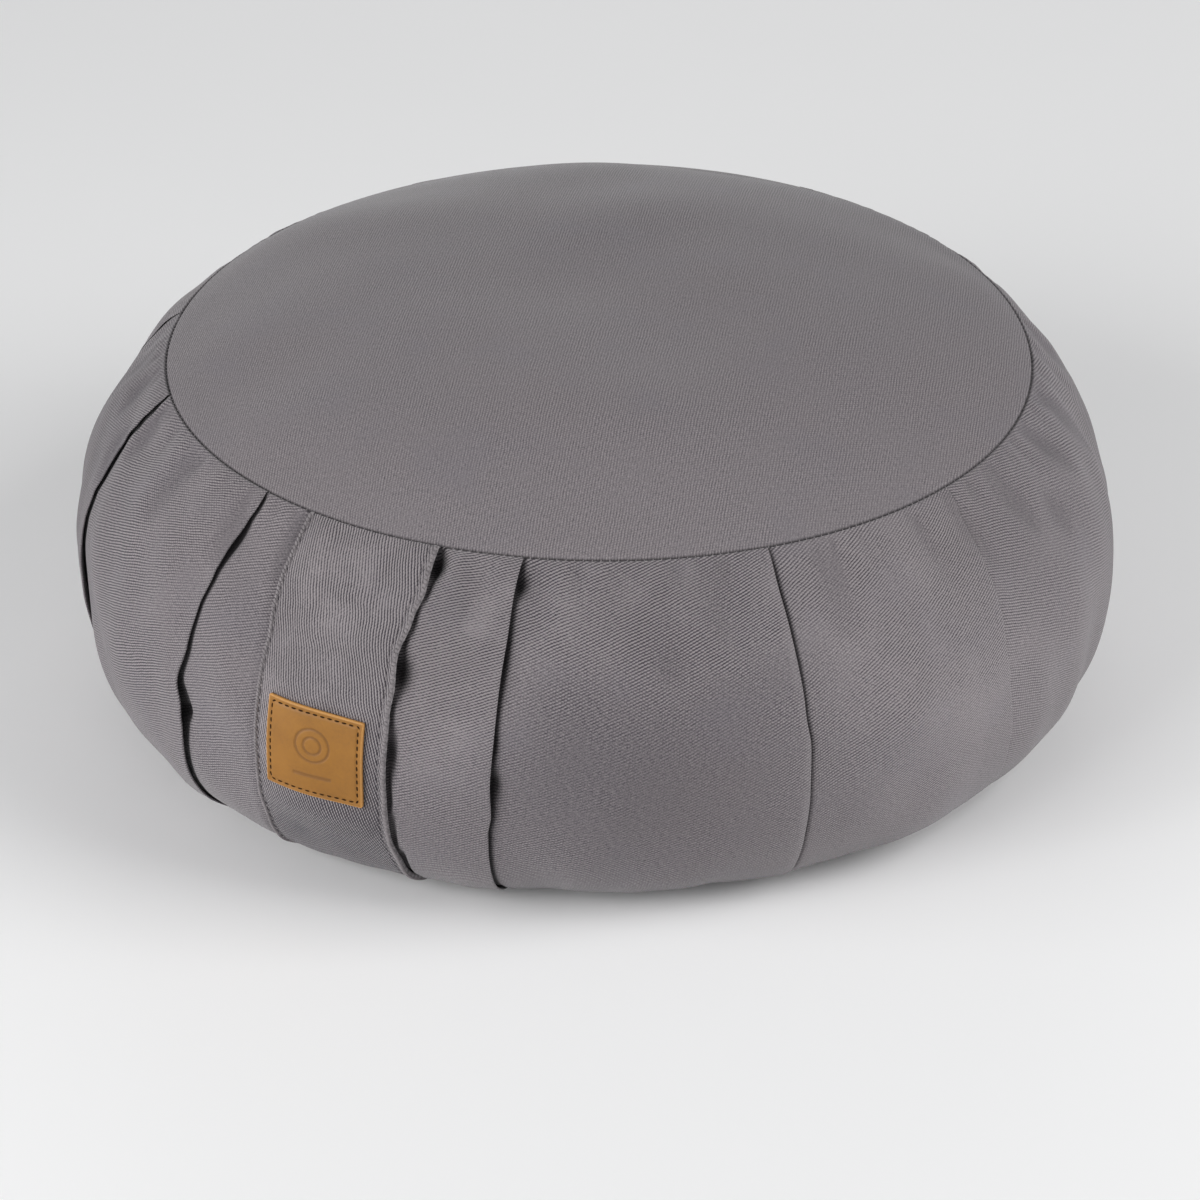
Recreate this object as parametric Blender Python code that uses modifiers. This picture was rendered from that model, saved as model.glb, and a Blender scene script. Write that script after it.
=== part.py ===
# Round pleated floor cushion: a crowned top panel, a flat bottom panel, a side band laid
# in knife pleats over its filling, a strap down one side and a leather label on the strap.
#
# Metres, +Z up, resting on z = 0. Azimuths are degrees seen from above, 0 at the front
# (-Y) and growing towards the right (+X). "Rise" is the share of the way up the side,
# measured along the cloth from the bottom seam (0) to the top seam (1).
import math
from collections import namedtuple

import bmesh
import bpy
import numpy as np

# Driving sizes of the filled shape
BODY_RADIUS = 0.2005
WIDEST_HEIGHT = 0.065
TOP_SEAM_RADIUS = 0.162
TOP_SEAM_HEIGHT = 0.131
CROWN_RISE = 0.030
CROWN_POWER = 3.0
BOTTOM_SEAM_RADIUS = 0.168
BOTTOM_SEAM_HEIGHT = 0.003
FLAT_RADIUS = 0.148
FLOOR_TURN_POWER = 1.5       # how late the bottom panel turns up to its seam

# How the side rounds: slopes at the seams in degrees, and the pull of each end of its two
# curves as a share of their width or height
TOP_SLOPE = 36.0
BOTTOM_SLOPE = 5.0
SEAM_PULL = 0.56
SHOULDER_PULL = 0.44
BELLY_PULL = 0.61
FLOOR_PULL = 0.74

# Cloth, leather and the clearances between pieces
PANEL_THICKNESS = 0.0018
STRAP_THICKNESS = 0.0020
LABEL_THICKNESS = 0.0015
SEAM_GAP = 0.0005
SEAT_GAP = 0.0005
PANEL_SEAT = 0.0026
RIM_ROUNDING = 0.0005

# Strap and label
STRAP_FOOT_AZIMUTH = -27.9
STRAP_TOP_AZIMUTH = -27.1
STRAP_WIDTH = 0.0525
STRAP_LIFT = 0.0016
STRAP_FLAT_SHARE = 0.55      # share of its width that lies flat on the side
STRAP_BED = 0.0014
STRAP_TUCK = 0.0006
STRAP_MARGIN = 3.0           # degrees over which the side rises again beside the strap
LABEL_WIDTH = 0.037
LABEL_DROP = 0.034
LABEL_AZIMUTH = -28.1
LABEL_MIDDLE = 0.065

# Pleats and the cloth between them
PUFF = 0.0016
MEAN_LIFT = 0.0020
SEAM_SHARE = 0.30
TOP_REACH = 0.14
BOTTOM_REACH = 0.45
SEAT_REACH = 0.12

# Resolution: rows and columns of the meshes, and rings as shares of a radius
SIDE_RISES = np.linspace(0.0, 1.0, 19)
SPAN_COLUMNS = 4
STRAP_COLUMNS = 6
LABEL_STEPS = 6
PANEL_COLUMNS = 72
FILL_COLUMNS = 60
CURVE_STEPS = 48
SLOPE_REACH = 0.03
TOP_PANEL_SHARES = (0.96, 0.88, 0.76, 0.60, 0.40, 0.20)
FLAT_SHARES = (0.5, 1.0)
FLOOR_EDGE_SHARES = (0.94, 1.0)
FILL_CROWN_SHARES = (0.93, 0.82, 0.66, 0.44, 0.22)
FILL_FLOOR_SHARES = (0.5, 1.0)

# Finishes
TWILL_COLOUR = (0.185, 0.168, 0.178)
TWILL_ROUGHNESS = 0.9
LEATHER_COLOUR = (0.38, 0.18, 0.045)
LEATHER_ROUGHNESS = 0.5

# Unevenness of the filling: high places round the cushion, their size, the first one's azimuth
Wave = namedtuple("Wave", "lobes size azimuth")
BODY_WAVES = (
    Wave(1, 0.0009, -40),
    Wave(2, 0.0022, 16),
    Wave(3, 0.0017, 79),
    Wave(4, 0.0016, 42),
)
SEAM_WAVES = (
    Wave(1, 0.0019, 125),
    Wave(2, 0.0040, 137),
    Wave(3, 0.0013, 85),
)
SEAM_RISES = (
    Wave(1, 0.0048, -97),
    Wave(2, 0.0018, -35),
)
BOTTOM_SHARE = 0.6

# Knife pleats: azimuth of the folded edge at the bottom seam, the widest place and the top
# seam, and how far the fold stands off the cloth beneath it
Pleat = namedtuple("Pleat", "bottom middle top height")
PLEATS = (
    Pleat(-154.0, -153.0, -152.5, 0.0032),
    Pleat(-126.0, -125.0, -126.0, 0.0030),
    Pleat(-100.0, -99.0, -97.0, 0.0026),
    Pleat(-73.0, -71.5, -73.0, 0.0028),
    Pleat(-46.0, -45.2, -43.2, 0.0044),
    Pleat(-9.5, -10.0, -8.2, 0.0036),
    Pleat(21.6, 21.4, 22.2, 0.0026),
    Pleat(50.5, 48.5, 52.5, 0.0014),
    Pleat(88.0, 88.5, 93.0, 0.0018),
    Pleat(119.0, 118.0, 121.0, 0.0028),
    Pleat(148.0, 148.5, 150.0, 0.0034),
    Pleat(176.5, 177.5, 178.5, 0.0030),
)

# Section across one pleat: distance along the side from the folded edge, share of the
# pleat's height, and the distance when the fold is laid out flat in the seam
FoldPoint = namedtuple("FoldPoint", "along share flat")
KNIFE_PLEAT = (
    FoldPoint(-0.0160, 0.65, -0.0160),
    FoldPoint(-0.0060, 1.00, -0.0100),
    FoldPoint(-0.0012, 1.00, -0.0070),
    FoldPoint(0.0000, 0.80, -0.0050),
    FoldPoint(-0.0012, 0.60, -0.0030),
    FoldPoint(-0.0060, 0.30, -0.0010),
    FoldPoint(-0.0008, 0.00, 0.0020),
    FoldPoint(0.0080, 0.05, 0.0080),
)

STRAP_BETWEEN = PLEATS[4:6]


def wave_sum(waves, azimuth):
    return sum(w.size * math.cos(math.radians(w.lobes * (azimuth - w.azimuth))) for w in waves)


def top_seam(azimuth):
    radius = TOP_SEAM_RADIUS + wave_sum(SEAM_WAVES, azimuth)
    height = TOP_SEAM_HEIGHT + wave_sum(SEAM_RISES, azimuth)
    return radius, height


def top_seam_radius(azimuth):
    return top_seam(azimuth)[0]


def bottom_seam_radius(azimuth):
    return BOTTOM_SEAM_RADIUS + BOTTOM_SHARE * wave_sum(BODY_WAVES, azimuth)


def place(azimuth, radius, height):
    turn = math.radians(azimuth)
    return np.array((radius * math.sin(turn), -radius * math.cos(turn), height))


def bezier(start, start_pull, end_pull, end):
    share = np.linspace(0.0, 1.0, CURVE_STEPS)[:, None]
    rest = 1.0 - share
    corners = [np.array(corner) for corner in (start, start_pull, end_pull, end)]
    weights = (rest**3, 3 * rest**2 * share, 3 * rest * share**2, share**3)
    return sum(weight * corner for weight, corner in zip(weights, corners))


def side_outline(azimuth):
    """The side's outline from seam to seam without its folds, and the length up to each point."""
    widest = BODY_RADIUS + wave_sum(BODY_WAVES, azimuth)
    seam_radius, seam_height = top_seam(azimuth)
    foot_radius = bottom_seam_radius(azimuth)
    foot_pull = FLOOR_PULL * (widest - foot_radius)
    seam_pull = SEAM_PULL * (widest - seam_radius)
    belly_height = WIDEST_HEIGHT - BOTTOM_SEAM_HEIGHT
    shoulder_height = seam_height - WIDEST_HEIGHT
    lower = bezier(
        (foot_radius, BOTTOM_SEAM_HEIGHT),
        (
            foot_radius + foot_pull * math.cos(math.radians(BOTTOM_SLOPE)),
            BOTTOM_SEAM_HEIGHT + foot_pull * math.sin(math.radians(BOTTOM_SLOPE)),
        ),
        (widest, WIDEST_HEIGHT - BELLY_PULL * belly_height),
        (widest, WIDEST_HEIGHT),
    )
    upper = bezier(
        (widest, WIDEST_HEIGHT),
        (widest, WIDEST_HEIGHT + SHOULDER_PULL * shoulder_height),
        (
            seam_radius + seam_pull * math.cos(math.radians(TOP_SLOPE)),
            seam_height - seam_pull * math.sin(math.radians(TOP_SLOPE)),
        ),
        (seam_radius, seam_height),
    )
    curve = np.concatenate((lower, upper[1:]))
    steps = np.hypot(*np.diff(curve, axis=0).T)
    return curve, np.concatenate(((0.0,), np.cumsum(steps)))


def side_spot(azimuth, rise):
    """Radius and height of the outline at one rise."""
    curve, length = side_outline(azimuth)
    at = rise * length[-1]
    return np.array((np.interp(at, length, curve[:, 0]), np.interp(at, length, curve[:, 1])))


def side_point(azimuth, rise, lift):
    """A point of the side, standing off its outline by lift: straight up or down at a seam."""
    if rise <= 0.0:
        off = np.array((0.0, -1.0))
    elif rise >= 1.0:
        off = np.array((0.0, 1.0))
    else:
        along = side_spot(azimuth, rise + SLOPE_REACH) - side_spot(azimuth, rise - SLOPE_REACH)
        off = np.array((along[1], -along[0])) / np.linalg.norm(along)
    radius, height = side_spot(azimuth, rise) + lift * off
    return place(azimuth, radius, height)


def ease(share):
    share = min(max(share, 0.0), 1.0)
    return share * share * (3.0 - 2.0 * share)


def near_seam(rise):
    """1 at either seam, falling to 0 soon below the top one and slowly above the bottom one."""
    return 1.0 - ease(min(rise / BOTTOM_REACH, (1.0 - rise) / TOP_REACH))


def drawn_in(rise):
    """How far the cloth between the folds lies inside the outline."""
    return MEAN_LIFT * ease(min(rise, 1.0 - rise) / SEAT_REACH)


def fold_azimuth(pleat, rise):
    """A smooth line through the pleat's three azimuths."""
    bow = pleat.middle - 0.5 * (pleat.bottom + pleat.top)
    return pleat.bottom + (pleat.top - pleat.bottom) * rise + 4.0 * bow * rise * (1.0 - rise)


def settled(rise):
    """Share of its height that a fold keeps as it is pressed flat towards the seams."""
    return 1.0 - (1.0 - SEAM_SHARE) * near_seam(rise)


def open_span(start, end, rise):
    """Azimuths of the open cloth between one pleat and the next, and degrees in a metre."""
    turn = 360.0 if end is PLEATS[0] else 0.0
    edge = fold_azimuth(start, rise)
    degrees = math.degrees(1.0 / side_spot(edge, rise)[0])
    first = edge + KNIFE_PLEAT[-1].along * degrees
    last = fold_azimuth(end, rise) + turn + KNIFE_PLEAT[0].along * degrees
    return first, last, degrees


def span_lift(start, end, azimuth, rise):
    """Lift of the puffed cloth between one pleat and the next."""
    first, last, _ = open_span(start, end, rise)
    share = (azimuth - first) / (last - first)
    low = KNIFE_PLEAT[-1].share * start.height
    high = KNIFE_PLEAT[0].share * end.height
    puff = (1.0 - near_seam(rise)) * PUFF * math.sin(math.pi * share)
    return settled(rise) * (low + (high - low) * share**2) + puff - drawn_in(rise)


def strap_edges(rise):
    middle = STRAP_FOOT_AZIMUTH + (STRAP_TOP_AZIMUTH - STRAP_FOOT_AZIMUTH) * rise
    half_turn = math.degrees(0.5 * STRAP_WIDTH / side_spot(middle, rise)[0])
    return middle - half_turn, middle + half_turn


def strap_bed(rise):
    """How far the side is pressed in under the strap."""
    return STRAP_BED + STRAP_TUCK * near_seam(rise)


def pressed_in(azimuth, rise):
    """The strap's bed, which eases out beside it."""
    left, right = strap_edges(rise)
    before = (azimuth - left + STRAP_MARGIN) / STRAP_MARGIN
    beyond = (right + STRAP_MARGIN - azimuth) / STRAP_MARGIN
    return ease(before) * ease(beyond) * strap_bed(rise)


def span_azimuths(first, last, rise):
    """Azimuths of the columns between two pleats, with the strap's own where it lies."""
    left, right = strap_edges(rise)
    if first < left < last:
        under = np.linspace(left, right, STRAP_COLUMNS + 1)
        return [left - STRAP_MARGIN, *under, right + STRAP_MARGIN]
    return np.linspace(first, last, SPAN_COLUMNS + 2)[1:-1]


def side_columns(rise):
    """Azimuth, laid-flat azimuth and lift of every column of the side at one rise."""
    columns = []
    for start, end in zip(PLEATS, PLEATS[1:] + PLEATS[:1]):
        edge = fold_azimuth(start, rise)
        first, last, degrees = open_span(start, end, rise)
        for point in KNIFE_PLEAT:
            lift = settled(rise) * point.share * start.height - drawn_in(rise)
            columns.append((edge + point.along * degrees, edge + point.flat * degrees, lift))
        for azimuth in span_azimuths(first, last, rise):
            lift = span_lift(start, end, azimuth, rise) - pressed_in(azimuth, rise)
            columns.append((azimuth, azimuth, lift))
    return columns


def crown_height(azimuth, radius):
    """Height of the top panel's outer face."""
    seam_radius, seam_height = top_seam(azimuth)
    share = radius / seam_radius
    level = TOP_SEAM_HEIGHT + (seam_height - TOP_SEAM_HEIGHT) * share**2
    return level + CROWN_RISE * (1.0 - share**CROWN_POWER)


def floor_height(azimuth, radius):
    """Height of the bottom panel's outer face: flat, then turned up to its seam."""
    share = (radius - FLAT_RADIUS) / (bottom_seam_radius(azimuth) - FLAT_RADIUS)
    return BOTTOM_SEAM_HEIGHT * max(share, 0.0) ** FLOOR_TURN_POWER


def stitch_rings(lower, upper):
    """Faces between two closed rings of vertices, given as (azimuth, vertex) pairs."""
    faces = []
    if len(lower) == len(upper):
        count = len(lower)
        for index in range(count):
            after = (index + 1) % count
            faces.append((lower[index][1], lower[after][1], upper[after][1], upper[index][1]))
        return faces
    down, up = 0, 0
    while down < len(lower) or up < len(upper):
        next_down = lower[(down + 1) % len(lower)][0] + 360.0 * ((down + 1) // len(lower))
        next_up = upper[(up + 1) % len(upper)][0] + 360.0 * ((up + 1) // len(upper))
        here_down = lower[down % len(lower)][1]
        here_up = upper[up % len(upper)][1]
        if up >= len(upper) or (down < len(lower) and next_down <= next_up):
            faces.append((here_down, lower[(down + 1) % len(lower)][1], here_up))
            down += 1
        else:
            faces.append((here_down, upper[(up + 1) % len(upper)][1], here_up))
            up += 1
    return faces


def skin(name, rings, start=None, end=None):
    """A mesh through rings of (azimuth, point) pairs, closed by a fan at start and end."""
    work = bmesh.new()
    loops = [[(azimuth, work.verts.new(point)) for azimuth, point in ring] for ring in rings]
    for lower, upper in zip(loops, loops[1:]):
        for face in stitch_rings(lower, upper):
            work.faces.new(face)
    for centre, loop, turn in ((start, loops[0], -1), (end, loops[-1], 1)):
        if centre is None:
            continue
        middle = work.verts.new(centre)
        for (_, here), (_, after) in zip(loop, loop[1:] + loop[:1]):
            work.faces.new((here, after, middle)[::turn])
    mesh = bpy.data.meshes.new(name)
    work.to_mesh(mesh)
    work.free()
    return mesh


def even_ring(count, radius_at, height_at):
    ring = []
    for index in range(count):
        azimuth = -180.0 + 360.0 * index / count
        radius = radius_at(azimuth)
        ring.append((azimuth, place(azimuth, radius, height_at(azimuth, radius))))
    return ring


def grid_mesh(name, grid):
    """An open sheet through rows of points."""
    work = bmesh.new()
    rows = [[work.verts.new(point) for point in row] for row in grid]
    for low, high in zip(rows, rows[1:]):
        for index in range(len(low) - 1):
            work.faces.new((low[index], low[index + 1], high[index + 1], high[index]))
    mesh = bpy.data.meshes.new(name)
    work.to_mesh(mesh)
    work.free()
    return mesh


def add_part(name, mesh, material):
    part = bpy.data.objects.new(name, mesh)
    part.data.materials.append(material)
    collection.objects.link(part)
    mesh.shade_smooth()
    mesh.set_sharp_from_angle(angle=math.radians(50))
    return part


def thicken(part, thickness, outwards):
    shell = part.modifiers.new("thickness", "SOLIDIFY")
    shell.thickness = thickness
    shell.offset = 1.0 if outwards else -1.0
    shell.use_even_offset = True
    edge = part.modifiers.new("rounded edges", "BEVEL")
    edge.width = RIM_ROUNDING
    edge.segments = 1
    edge.limit_method = "ANGLE"
    edge.angle_limit = math.radians(60)


def finish(name, colour, roughness):
    material = bpy.data.materials.new(name)
    material.use_nodes = True
    shader = material.node_tree.nodes["Principled BSDF"]
    shader.inputs["Base Color"].default_value = (*colour, 1.0)
    shader.inputs["Roughness"].default_value = roughness
    shader.inputs["Metallic"].default_value = 0.0
    return material


def disc_ring(columns, share, seam_radius, surface, inset=0.0, off=0.0):
    """A ring on a round panel at a share of its seam radius."""
    def radius_at(azimuth):
        return share * seam_radius(azimuth) - inset
    return even_ring(columns, radius_at, lambda azimuth, radius: surface(azimuth, radius) + off)


def build_pleated_side(material):
    """The pleated band and its filling, set in by a panel's seat at top and bottom."""
    rings = [
        disc_ring(FILL_COLUMNS, share, lambda azimuth: FLAT_RADIUS, floor_height, off=PANEL_SEAT)
        for share in FILL_FLOOR_SHARES
    ]
    rings.append([
        (flat, place(flat, bottom_seam_radius(flat), BOTTOM_SEAM_HEIGHT + PANEL_SEAT))
        for _, flat, _ in side_columns(0.0)
    ])
    for rise in SIDE_RISES:
        columns = side_columns(rise)
        rings.append([(flat, side_point(azimuth, rise, lift)) for azimuth, flat, lift in columns])
    rings.append([
        (flat, place(flat, top_seam(flat)[0], top_seam(flat)[1] - PANEL_SEAT))
        for _, flat, _ in side_columns(1.0)
    ])
    rings += [
        disc_ring(FILL_COLUMNS, share, top_seam_radius, crown_height, off=-PANEL_SEAT)
        for share in FILL_CROWN_SHARES
    ]
    low_middle = (0.0, 0.0, PANEL_SEAT)
    high_middle = (0.0, 0.0, TOP_SEAM_HEIGHT + CROWN_RISE - PANEL_SEAT)
    return add_part("pleated_side", skin("pleated_side", rings, low_middle, high_middle), material)


def build_top_panel(material):
    rings = [disc_ring(PANEL_COLUMNS, 1.0, top_seam_radius, crown_height, inset=SEAM_GAP)]
    rings += [
        disc_ring(PANEL_COLUMNS, share, top_seam_radius, crown_height)
        for share in TOP_PANEL_SHARES
    ]
    middle = (0.0, 0.0, TOP_SEAM_HEIGHT + CROWN_RISE)
    panel = add_part("top_panel", skin("top_panel", rings, end=middle), material)
    thicken(panel, PANEL_THICKNESS, outwards=False)
    return panel


def build_bottom_panel(material):
    rings = [
        disc_ring(PANEL_COLUMNS, share, lambda azimuth: FLAT_RADIUS, floor_height)
        for share in FLAT_SHARES
    ]
    rings += [
        disc_ring(PANEL_COLUMNS, share, bottom_seam_radius, floor_height, inset=SEAM_GAP)
        for share in FLOOR_EDGE_SHARES
    ]
    panel = add_part("bottom_panel", skin("bottom_panel", rings, start=(0.0, 0.0, 0.0)), material)
    thicken(panel, PANEL_THICKNESS, outwards=False)
    return panel


def strap_point(azimuth, rise, off):
    """A point over the strap's bed, off the side by a distance."""
    lift = span_lift(*STRAP_BETWEEN, azimuth, rise) - strap_bed(rise)
    return side_point(azimuth, rise, lift + off)


def strap_off(across, rise):
    """Gap between the strap and the side: flat at its left, lifted at its right."""
    lifted = ease((across - STRAP_FLAT_SHARE) / (1.0 - STRAP_FLAT_SHARE))
    return SEAT_GAP + STRAP_LIFT * lifted * (1.0 - near_seam(rise))


def build_side_strap(material):
    grid = []
    for rise in SIDE_RISES:
        left, right = strap_edges(rise)
        row = []
        for across in np.linspace(0.0, 1.0, STRAP_COLUMNS + 1):
            azimuth = left + (right - left) * across
            row.append(strap_point(azimuth, rise, strap_off(across, rise)))
        grid.append(row)
    strap = add_part("side_strap", grid_mesh("side_strap", grid), material)
    thicken(strap, STRAP_THICKNESS, outwards=True)
    return strap


def build_leather_label(material):
    """A patch that follows the strap's outer face."""
    curve, length = side_outline(LABEL_AZIMUTH)
    middle_rise = np.interp(LABEL_MIDDLE, curve[:, 1], length) / length[-1]
    shares = np.linspace(-0.5, 0.5, LABEL_STEPS + 1)
    grid = []
    for share_up in shares:
        rise = middle_rise + share_up * LABEL_DROP / length[-1]
        left, right = strap_edges(rise)
        row = []
        for share_along in shares:
            turn = share_along * LABEL_WIDTH / side_spot(LABEL_AZIMUTH, rise)[0]
            azimuth = LABEL_AZIMUTH + math.degrees(turn)
            across = (azimuth - left) / (right - left)
            off = strap_off(across, rise) + STRAP_THICKNESS + SEAT_GAP
            row.append(strap_point(azimuth, rise, off))
        grid.append(row)
    label = add_part("leather_label", grid_mesh("leather_label", grid), material)
    thicken(label, LABEL_THICKNESS, outwards=True)
    return label


def main():
    twill = finish("grey twill", TWILL_COLOUR, TWILL_ROUGHNESS)
    leather = finish("tan leather", LEATHER_COLOUR, LEATHER_ROUGHNESS)
    build_pleated_side(twill)
    build_top_panel(twill)
    build_bottom_panel(twill)
    build_side_strap(twill)
    build_leather_label(leather)


for old in list(bpy.data.objects):
    bpy.data.objects.remove(old, do_unlink=True)
collection = bpy.data.collections.new("zafu_cushion")
bpy.context.scene.collection.children.link(collection)
main()
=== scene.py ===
import math

import bpy
import numpy as np
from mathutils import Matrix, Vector


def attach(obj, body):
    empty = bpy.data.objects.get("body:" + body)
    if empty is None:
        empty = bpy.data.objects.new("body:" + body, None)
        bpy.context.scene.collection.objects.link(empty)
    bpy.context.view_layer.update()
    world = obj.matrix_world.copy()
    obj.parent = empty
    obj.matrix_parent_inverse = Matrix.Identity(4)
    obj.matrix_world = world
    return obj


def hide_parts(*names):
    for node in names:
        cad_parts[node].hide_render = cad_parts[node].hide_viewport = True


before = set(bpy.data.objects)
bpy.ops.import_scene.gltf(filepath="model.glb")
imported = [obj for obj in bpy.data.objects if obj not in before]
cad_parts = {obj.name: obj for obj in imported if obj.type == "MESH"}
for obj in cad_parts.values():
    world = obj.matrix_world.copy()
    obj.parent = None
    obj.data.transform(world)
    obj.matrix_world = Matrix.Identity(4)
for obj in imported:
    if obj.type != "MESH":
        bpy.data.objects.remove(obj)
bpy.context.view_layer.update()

# A round pleated sitting cushion in grey twill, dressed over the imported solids.
# Metres, +Z up. Azimuths are degrees from the front (-Y), growing towards +X. "Rise" is the
# share of the way up the side's cloth, from the bottom seam (0) to the top seam (1).
mm = 0.001
print("frame loaded:", ", ".join(sorted(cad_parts)))

camera = {
    "target": (0.00202, 0.0, 0.02045),
    "distance": 1.5,
    "elevation": 30.55,
    "lens": 115.525,  # millimetres, as the sensor's width
    "sensor": 36.0,
    "clip": (0.05, 30.0),
}


def addObject(name, data):
    made = bpy.data.objects.new(name, data)
    bpy.context.scene.collection.objects.link(made)
    return made


def placeCamera(settings):
    eye = addObject("camera", bpy.data.cameras.new("camera"))
    tilt = math.radians(settings["elevation"])
    back = Vector((0.0, -math.cos(tilt), math.sin(tilt)))
    eye.location = Vector(settings["target"]) + back * settings["distance"]
    eye.rotation_euler = (-back).to_track_quat("-Z", "Y").to_euler()
    eye.data.sensor_width = settings["sensor"]
    eye.data.lens = settings["lens"]
    eye.data.clip_start, eye.data.clip_end = settings["clip"]
    bpy.context.scene.camera = eye


placeCamera(camera)

# The filled shape, with the same sizes as the solids
filledShape = {
    "bodyRadius": 0.2005,
    "widestHeight": 0.065,
    "topSeamRadius": 0.162,
    "topSeamHeight": 0.131,
    "crownRise": 0.030,
    "crownPower": 3.0,
    "bottomSeamRadius": 0.168,
    "bottomSeamHeight": 0.003,
    "flatRadius": 0.148,
    "floorTurnPower": 1.5,
    "topSlope": 36.0,
    "bottomSlope": 5.0,
    "seamPull": 0.56,
    "shoulderPull": 0.44,
    "bellyPull": 0.61,
    "floorPull": 0.74,
    "slopeReach": 0.03,
    "meanLift": 0.0020,
    "puff": 0.0016,
    "topReach": 0.14,
    "bottomReach": 0.45,
    "seatReach": 0.12,
    "bottomShare": 0.6,
    # high places round the cushion: how many, how high, azimuth of the first
    "bodyWaves": ((1, 0.0009, -40), (2, 0.0022, 16), (3, 0.0017, 79), (4, 0.0016, 42)),
    "seamWaves": ((1, 0.0019, 125), (2, 0.0040, 137), (3, 0.0013, 85)),
    "seamRises": ((1, 0.0048, -97), (2, 0.0018, -35)),
}


def waveSum(waves, azimuth):
    return sum(size * np.cos(np.radians(lobes * (azimuth - high))) for lobes, size, high in waves)


def ease(share):
    share = np.clip(share, 0.0, 1.0)
    return share * share * (3.0 - 2.0 * share)


def softTable(points, at):
    # a curve that rests at each (place, value) of a short table
    places = [place for place, _ in points]
    values = np.array([value for _, value in points], float)
    after = np.clip(np.searchsorted(places, at), 1, len(places) - 1)
    low, high = np.take(places, after - 1), np.take(places, after)
    share = ease((at - low) / (high - low))
    return values[after - 1] + (values[after] - values[after - 1]) * share


def topSeam(azimuth):
    radius = filledShape["topSeamRadius"] + waveSum(filledShape["seamWaves"], azimuth)
    height = filledShape["topSeamHeight"] + waveSum(filledShape["seamRises"], azimuth)
    return radius, height


def bottomSeam(azimuth):
    waves = waveSum(filledShape["bodyWaves"], azimuth)
    return filledShape["bottomSeamRadius"] + filledShape["bottomShare"] * waves


def crownHeight(azimuth, radius):
    seamRadius, seamHeight = topSeam(azimuth)
    share = radius / seamRadius
    middle = filledShape["topSeamHeight"]
    level = middle + (seamHeight - middle) * share**2
    return level + filledShape["crownRise"] * (1.0 - share ** filledShape["crownPower"])


def floorHeight(azimuth, radius):
    flat = filledShape["flatRadius"]
    share = np.maximum((radius - flat) / (bottomSeam(azimuth) - flat), 0.0)
    return filledShape["bottomSeamHeight"] * share ** filledShape["floorTurnPower"]


def placeAt(azimuth, radius, height):
    turn = np.radians(azimuth)
    x, y, z = np.broadcast_arrays(radius * np.sin(turn), -radius * np.cos(turn), height)
    return np.stack((x, y, z), axis=-1)


def bezierCurves(corners, steps=48):
    share = np.linspace(0.0, 1.0, steps)[None, :, None]
    rest = 1.0 - share
    weights = (rest**3, 3 * rest**2 * share, 3 * rest * share**2, share**3)
    made = 0.0
    for weight, (radius, height) in zip(weights, corners):
        radius, height = np.broadcast_arrays(radius, height)
        made = made + weight * np.stack((radius, height), axis=-1)[:, None, :]
    return made


def buildSideTable(step=0.5, rows=401):
    # radius, height and outward slope of the side's outline for every azimuth and rise
    azimuth = np.arange(0.0, 360.0, step)
    shape = filledShape
    widest = shape["bodyRadius"] + waveSum(shape["bodyWaves"], azimuth)
    seamRadius, seamHeight = topSeam(azimuth)
    foot = bottomSeam(azimuth)
    footHeight, belly = shape["bottomSeamHeight"], shape["widestHeight"]
    footPull = shape["floorPull"] * (widest - foot)
    seamPull = shape["seamPull"] * (widest - seamRadius)
    low, high = math.radians(shape["bottomSlope"]), math.radians(shape["topSlope"])
    lower = bezierCurves((
        (foot, footHeight),
        (foot + footPull * math.cos(low), footHeight + footPull * math.sin(low)),
        (widest, belly - shape["bellyPull"] * (belly - footHeight)),
        (widest, belly),
    ))
    upper = bezierCurves((
        (widest, belly),
        (widest, belly + shape["shoulderPull"] * (seamHeight - belly)),
        (seamRadius + seamPull * math.cos(high), seamHeight - seamPull * math.sin(high)),
        (seamRadius, seamHeight),
    ))
    curves = np.concatenate((lower, upper[:, 1:]), axis=1)
    rises = np.linspace(0.0, 1.0, rows)
    reach = shape["slopeReach"]
    table = np.zeros((len(azimuth), rows, 5))
    for index, curve in enumerate(curves):
        steps = np.hypot(*np.diff(curve, axis=0).T)
        length = np.concatenate(((0.0,), np.cumsum(steps)))

        def spot(rise):
            at = rise * length[-1]
            return np.stack((np.interp(at, length, curve[:, 0]), np.interp(at, length, curve[:, 1])))

        along = spot(rises + reach) - spot(rises - reach)
        off = np.stack((along[1], -along[0])) / np.linalg.norm(along, axis=0)
        table[index, :, :2] = spot(rises).T
        table[index, :, 2:4] = off.T
        table[index, :, 4] = length[-1]
    return {"step": step, "rows": rows, "table": table}


sideTable = buildSideTable()


def sideOutline(azimuth, rise):
    # radius, height, the two parts of the outward direction, and the cloth's length
    azimuth, rise = np.broadcast_arrays(np.asarray(azimuth, float), np.asarray(rise, float))
    across = (azimuth % 360.0) / sideTable["step"]
    up = np.clip(rise, 0.0, 1.0) * (sideTable["rows"] - 1)
    columns = len(sideTable["table"])
    left = np.floor(across).astype(int)
    below = np.minimum(np.floor(up).astype(int), sideTable["rows"] - 2)
    turn, climb = (across - left)[..., None], (up - below)[..., None]
    table = sideTable["table"]
    left, right = left % columns, (left + 1) % columns
    near = table[left, below] * (1 - climb) + table[left, below + 1] * climb
    far = table[right, below] * (1 - climb) + table[right, below + 1] * climb
    return np.moveaxis(near * (1 - turn) + far * turn, -1, 0)


def sidePoint(azimuth, rise, lift):
    radius, height, out, up, _ = sideOutline(azimuth, rise)
    return placeAt(azimuth, radius + lift * out, height + lift * up)


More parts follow.
